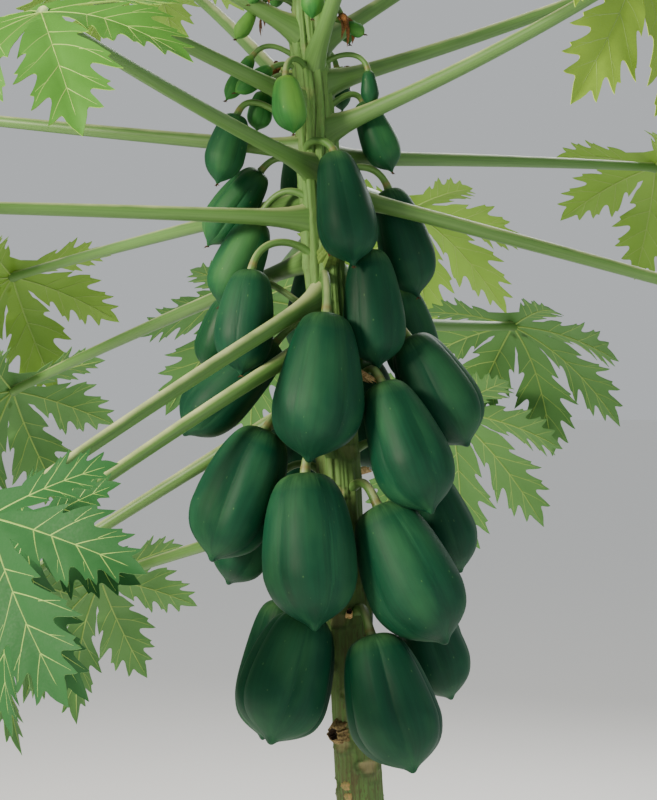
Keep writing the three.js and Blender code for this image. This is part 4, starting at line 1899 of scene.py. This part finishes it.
@dataclass
class Blossom:
    """Cream flowers of five fleshy petals near the tip, and withered ones lower down."""

    # thick and waxy, so the light on it is soft
    petal: PlainFinish = PlainFinish("fleshy cream petal", 0.5, colour="e8e3bd", fleck="dcd8a0", grain=5.0)
    # smooth and light green, as is the flower's stalk
    cup: PlainFinish = PlainFinish("green flower cup", 0.55, colour="7d9f4a", fleck="93b060", grain=4.0)
    # brown and papery, without a shine
    withered: PlainFinish = PlainFinish("withered petal", 0.8, colour="7d4f1f", fleck="4d2f14", grain=3.0)
    petals: int = 5
    sides: int = 8
    rings: int = 8
    stalk_length: float = 34.0
    stalk_sink: float = 3.0
    stalk_foot: float = 2.6
    stalk_head: float = 3.4
    # half width and half thickness of a petal
    fresh_size: tuple[float, float] = (5.2, 1.6)
    withered_size: tuple[float, float] = (4.2, 1.1)
    seed: int = 41

    def add_flower(
        self, batch: Batch, row: FlowerRow, petal: Drum, stalk: Drum, rng: np.random.Generator
    ) -> None:
        """Adds a flower on its stalk to a batch.

        Args:
            batch: the piece.
            row: the flower's place and state.
            petal: the form its petals are copies of.
            stalk: the form its stalk is a copy of.
            rng: source of small differences.
        """
        t = np.linspace(0, 1, petal.rings + 1)
        ahead = outward(row.bearing, row.rise)
        side = outward(row.bearing + 90)
        over = np.cross(ahead, side)
        root = STEM.seat(row.height, row.bearing, self.stalk_sink)
        foot = root + ahead * self.stalk_length
        path = bezier([root, root + ahead * self.stalk_length * 0.5, foot], t)
        thick = np.linspace(self.stalk_foot, self.stalk_head, len(t))
        batch.add(stalk.along(path, side, thick, thick), stalk.faces, 1)
        wide, thin = self.withered_size if row.withered else self.fresh_size
        width = wide * np.sin(math.pi * (0.12 + 0.8 * t)) ** 0.8
        for i in range(self.petals):
            turn = TURN * i / self.petals + rng.uniform(-0.15, 0.15)
            aside = side * math.cos(turn) + over * math.sin(turn)
            spread = rng.uniform(0.1, 0.9) if row.withered else rng.uniform(0.25, 0.45)
            end = foot + ahead * row.length * rng.uniform(0.75, 1.0) + aside * row.length * spread
            bend = foot + ahead * row.length * 0.5 + aside * row.length * 0.12
            if row.withered:
                fall = DOWN * row.length * rng.uniform(0.5, 1.1)
                end = foot + (ahead * 0.4 + aside * spread * 0.5) * row.length + fall
                bend = foot + (ahead + aside * spread) * row.length * 0.6
            spine = bezier([foot, bend, end], t)
            points = petal.along(spine, np.cross(ahead, aside), width, np.full(len(t), thin))
            batch.add(points, petal.faces, 2 if row.withered else 0)

    def build(self) -> None:
        """Makes the flowers' piece."""
        rng = np.random.default_rng(self.seed)
        petal = Drum(self.sides, self.rings, Ends.POINTED)
        stalk = Drum(self.sides, self.rings, Ends.FLAT)
        batch = Batch("blossom")
        for row in FLOWERS:
            self.add_flower(batch, row, petal, stalk, rng)
        finishes = (self.petal, self.cup, self.withered)
        place(batch.build([finish.material() for finish in finishes], 45), Slot.LEAF)


class StubKind(Enum):
    """What is left where a stalk was: its outline from its foot over its rim into its hollow,
    as shares out and across."""

    SNAG = (
        (-0.4, 0.0), (-0.4, 1.2), (0.0, 1.15), (0.3, 1.02), (0.7, 0.98), (1.0, 0.95),
        (1.03, 0.8), (0.98, 0.55), (0.8, 0.45), (0.75, 0.0),
    )
    COLLAR = (
        (-0.7, 0.0), (-0.7, 1.35), (0.0, 1.3), (0.45, 1.15), (0.8, 0.98), (1.0, 0.78),
        (0.95, 0.6), (0.55, 0.42), (0.3, 0.33), (0.25, 0.0),
    )
    FOOT = (
        (-0.6, 0.0), (-0.6, 1.6), (0.0, 1.45), (0.5, 1.2), (0.9, 1.02), (1.0, 0.9),
        (0.98, 0.72), (0.75, 0.6), (0.5, 0.5), (0.45, 0.0),
    )
    LATEX = (
        (-0.6, 0.0), (-0.6, 1.3), (0.0, 1.2), (0.4, 1.05), (0.7, 0.85), (0.9, 0.6),
        (0.97, 0.4), (1.0, 0.25), (1.0, 0.1), (1.0, 0.0),
    )


@dataclass(frozen=True)
class StubRow:
    """One stub on the stem: height, bearing, rise, length, radius and kind."""

    height: float
    bearing: float
    rise: float
    length: float
    radius: float
    kind: StubKind


STUBS = [
    StubRow(1353, 311, -22, 62, 6.4, StubKind.SNAG),
    StubRow(1517, 284, 24, 24, 11.0, StubKind.FOOT),
    StubRow(806, 222, -8, 13, 13.0, StubKind.COLLAR),
    StubRow(982, 272, 24, 14, 5.0, StubKind.SNAG),
    StubRow(727, 233, 0, 1.0, 6.0, StubKind.LATEX),
    StubRow(711, 238, 0, 0.9, 5.0, StubKind.LATEX),
    StubRow(640, 40, 0, 7, 11.0, StubKind.COLLAR),
    StubRow(548, 165, 0, 6, 12.0, StubKind.COLLAR),
    StubRow(455, 300, 0, 6, 12.0, StubKind.COLLAR),
    StubRow(700, 118, 10, 16, 6.5, StubKind.SNAG),
    StubRow(1190, 40, 10, 26, 6.0, StubKind.SNAG),
    StubRow(1360, 120, 8, 28, 6.0, StubKind.SNAG),
    StubRow(1460, 20, 20, 22, 10.0, StubKind.FOOT),
    StubRow(1240, 150, 16, 22, 10.0, StubKind.FOOT),
]


@dataclass
class Stubs:
    """Ends of fallen stalks, hollow in the middle and painted in shade there, and dried drops of latex."""

    # crumbly and dull, rough enough to throw small shadows
    cork: PlainFinish = PlainFinish(
        "dry cork of a cut stalk", 0.85, colour="8d7b50", fleck="4f4029", grain=3.5, relief=0.8
    )
    # bare pale wood that stands out between the fruit
    dry: PlainFinish = PlainFinish(
        "pale dry wood of a snapped stalk", 0.8, colour="f0cd96", fleck="b98f58", grain=3.5, relief=0.6
    )
    # painted shade in the stub's hollow: nearly black, so the stub looks deep
    painted_hollow_shade: PlainFinish = PlainFinish(
        "dark hollow of a stalk", 0.9, colour="1f1710", fleck="3a2b1c", grain=2.0, relief=0.5
    )
    # scorched brown, dry and dull
    brown: PlainFinish = PlainFinish(
        "brown dried rim", 0.85, colour="5c3a20", fleck="2f1d12", grain=2.4, relief=0.8
    )
    # still smooth and alive
    green: PlainFinish = PlainFinish(
        "green foot of a fallen stalk", 0.55, colour="6c8a42", fleck="587434", grain=6.0
    )
    # brown gum with a slight shine
    latex: PlainFinish = PlainFinish("dried latex", 0.55, colour="9a7c48", fleck="6b6f3a", grain=3.0)
    sides: int = 40
    rings: int = 30
    # shares of the outline from which the rim and the hollow show
    rim_from: float = 0.42
    hollow_from: float = 0.62
    waves: tuple[int, ...] = (2, 3, 5, 8, 13)
    seed: int = 53

    def looks(self, kind: StubKind) -> tuple[int, int, int]:
        """Finishes of a stub's side, rim and hollow.

        Args:
            kind: the stub's kind.

        Returns:
            Their places among the piece's materials.
        """
        # the hollow of every kind but latex takes the painted shade
        return {
            StubKind.SNAG: (5, 5, 1),
            StubKind.COLLAR: (0, 0, 1),
            StubKind.FOOT: (3, 2, 1),
            StubKind.LATEX: (4, 4, 4),
        }[kind]

    def add_stub(self, batch: Batch, row: StubRow, drum: Drum, rng: np.random.Generator) -> None:
        """Adds a stub to a batch, rough and ragged at its rim.

        Args:
            batch: the piece.
            row: the stub's place, size and kind.
            drum: the form it is a copy of.
            rng: source of small differences.
        """
        out, width = smooth_through(row.kind.value, drum.share).T
        ahead = outward(row.bearing, row.rise)
        side = outward(row.bearing + 90)
        root = STEM.seat(row.height, row.bearing, 0.0)
        rough = 1.0
        for waves in self.waves:
            drift = rng.uniform(0, TURN) + 2.0 * drum.share * rng.uniform(-1, 1)
            rough = rough + rng.uniform(0.03, 0.08) * np.sin(waves * drum.angle + drift)
        ragged = 0.07 * np.sin(9 * drum.angle + rng.uniform(0, TURN))
        uneven = 1 + (0.2 * np.sin(drum.angle + rng.uniform(0, TURN)) + ragged) * (out > 0)
        radius = width.clip(0) * row.radius * rough * drum.radial
        x, y = radius * np.cos(drum.angle), radius * np.sin(drum.angle)
        points = moved(root, (out * row.length * uneven, ahead), (x, side), (y, np.cross(ahead, side)))
        outer, rim, inner = self.looks(row.kind)
        shown = {outer: [], rim: [], inner: []}
        for face in drum.faces:
            share = float(np.mean(drum.share[face]))
            look = inner if share > self.hollow_from else rim if share > self.rim_from else outer
            shown[look].append(face)
        batch.add(points, shown.pop(outer), outer)
        for look, faces in shown.items():
            batch.add(NO_POINTS, [[i - len(points) for i in face] for face in faces], look)

    def build(self) -> None:
        """Makes the stubs' piece."""
        batch = Batch("stalk_stubs")
        drum = Drum(self.sides, self.rings, Ends.POINTED)
        rng = np.random.default_rng(self.seed)
        for row in STUBS:
            self.add_stub(batch, row, drum, rng)
        finishes = (self.cork, self.painted_hollow_shade, self.brown, self.green, self.latex, self.dry)
        place(batch.build([finish.material() for finish in finishes], 50), Slot.STEM)


# Studio


@dataclass
class Studio:
    """Pale floor, soft light and the camera."""

    camera_spot: tuple[float, float, float] = (-95.0, -2850.0, 1300.0)
    lens: float = 85.5
    sensor: float = 36.0
    clip_end: float = 400.0
    # matt and plain, so that only soft shadows show on it
    floor: PlainFinish = PlainFinish("matt studio floor", 0.9, colour="f8f7f4", grain=400.0)
    floor_size: float = 240.0
    air_colour: str = "e6eaed"
    air_strength: float = 0.64
    middle: tuple[float, float, float] = (-0.1, 0.0, 1.3)

    def light(
        self, name: str, spot: Sequence[float], size: float, power: float, tint: str = "ffffff"
    ) -> None:
        """Adds a square soft light that points at the tree's middle.

        Args:
            name: its name.
            spot: where it hangs, in metres.
            size: its side, in metres.
            power: its power, in watts.
            tint: its colour.
        """
        data = bpy.data.lights.new(name, "AREA")
        data.size = size
        data.energy = power
        data.color = linear(tint)[:3]
        lamp = bpy.data.objects.new(name, data)
        bpy.context.collection.objects.link(lamp)
        lamp.location = spot
        lamp.rotation_euler = (Vector(self.middle) - Vector(spot)).to_track_quat("-Z", "Y").to_euler()

    def build(self) -> None:
        """Makes the floor, the lights and the camera."""
        deselect_all()
        bpy.ops.mesh.primitive_plane_add(size=self.floor_size, location=(0, 0, 0))
        floor = bpy.context.object
        floor.name = "floor"
        floor.data.materials.append(self.floor.material())
        world = bpy.data.worlds.new("studio")
        world.use_nodes = True
        sky = world.node_tree.nodes["Background"]
        sky.inputs["Color"].default_value = linear(self.air_colour)
        sky.inputs["Strength"].default_value = self.air_strength
        bpy.context.scene.world = world
        self.light("key", (-3.2, -2.7, 2.8), 1.0, 410, "fff2d8")
        self.light("fill", (3.2, -2.4, 1.6), 2.6, 22)
        self.light("back", (1.2, 3.0, 3.4), 2.2, 110)
        data = bpy.data.cameras.new("camera")
        data.lens = self.lens
        data.sensor_width = self.sensor
        data.dof.use_dof = False
        data.clip_end = self.clip_end
        camera = bpy.data.objects.new("camera", data)
        bpy.context.collection.objects.link(camera)
        camera.location = [c * MM for c in self.camera_spot]
        camera.rotation_euler = (math.radians(90), 0, 0)
        bpy.context.scene.camera = camera


def main() -> None:
    """Builds the sub-assemblies in order."""
    logging.basicConfig(level=logging.INFO, format="%(name)s %(message)s")
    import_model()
    Studio().build()
    for part in (Trunk(), FruitColumn(), Crown(), Blossom(), Stubs()):
        part.build()
        LOG.info("%s done", type(part).__name__)


if __name__ == "__main__":
    main()
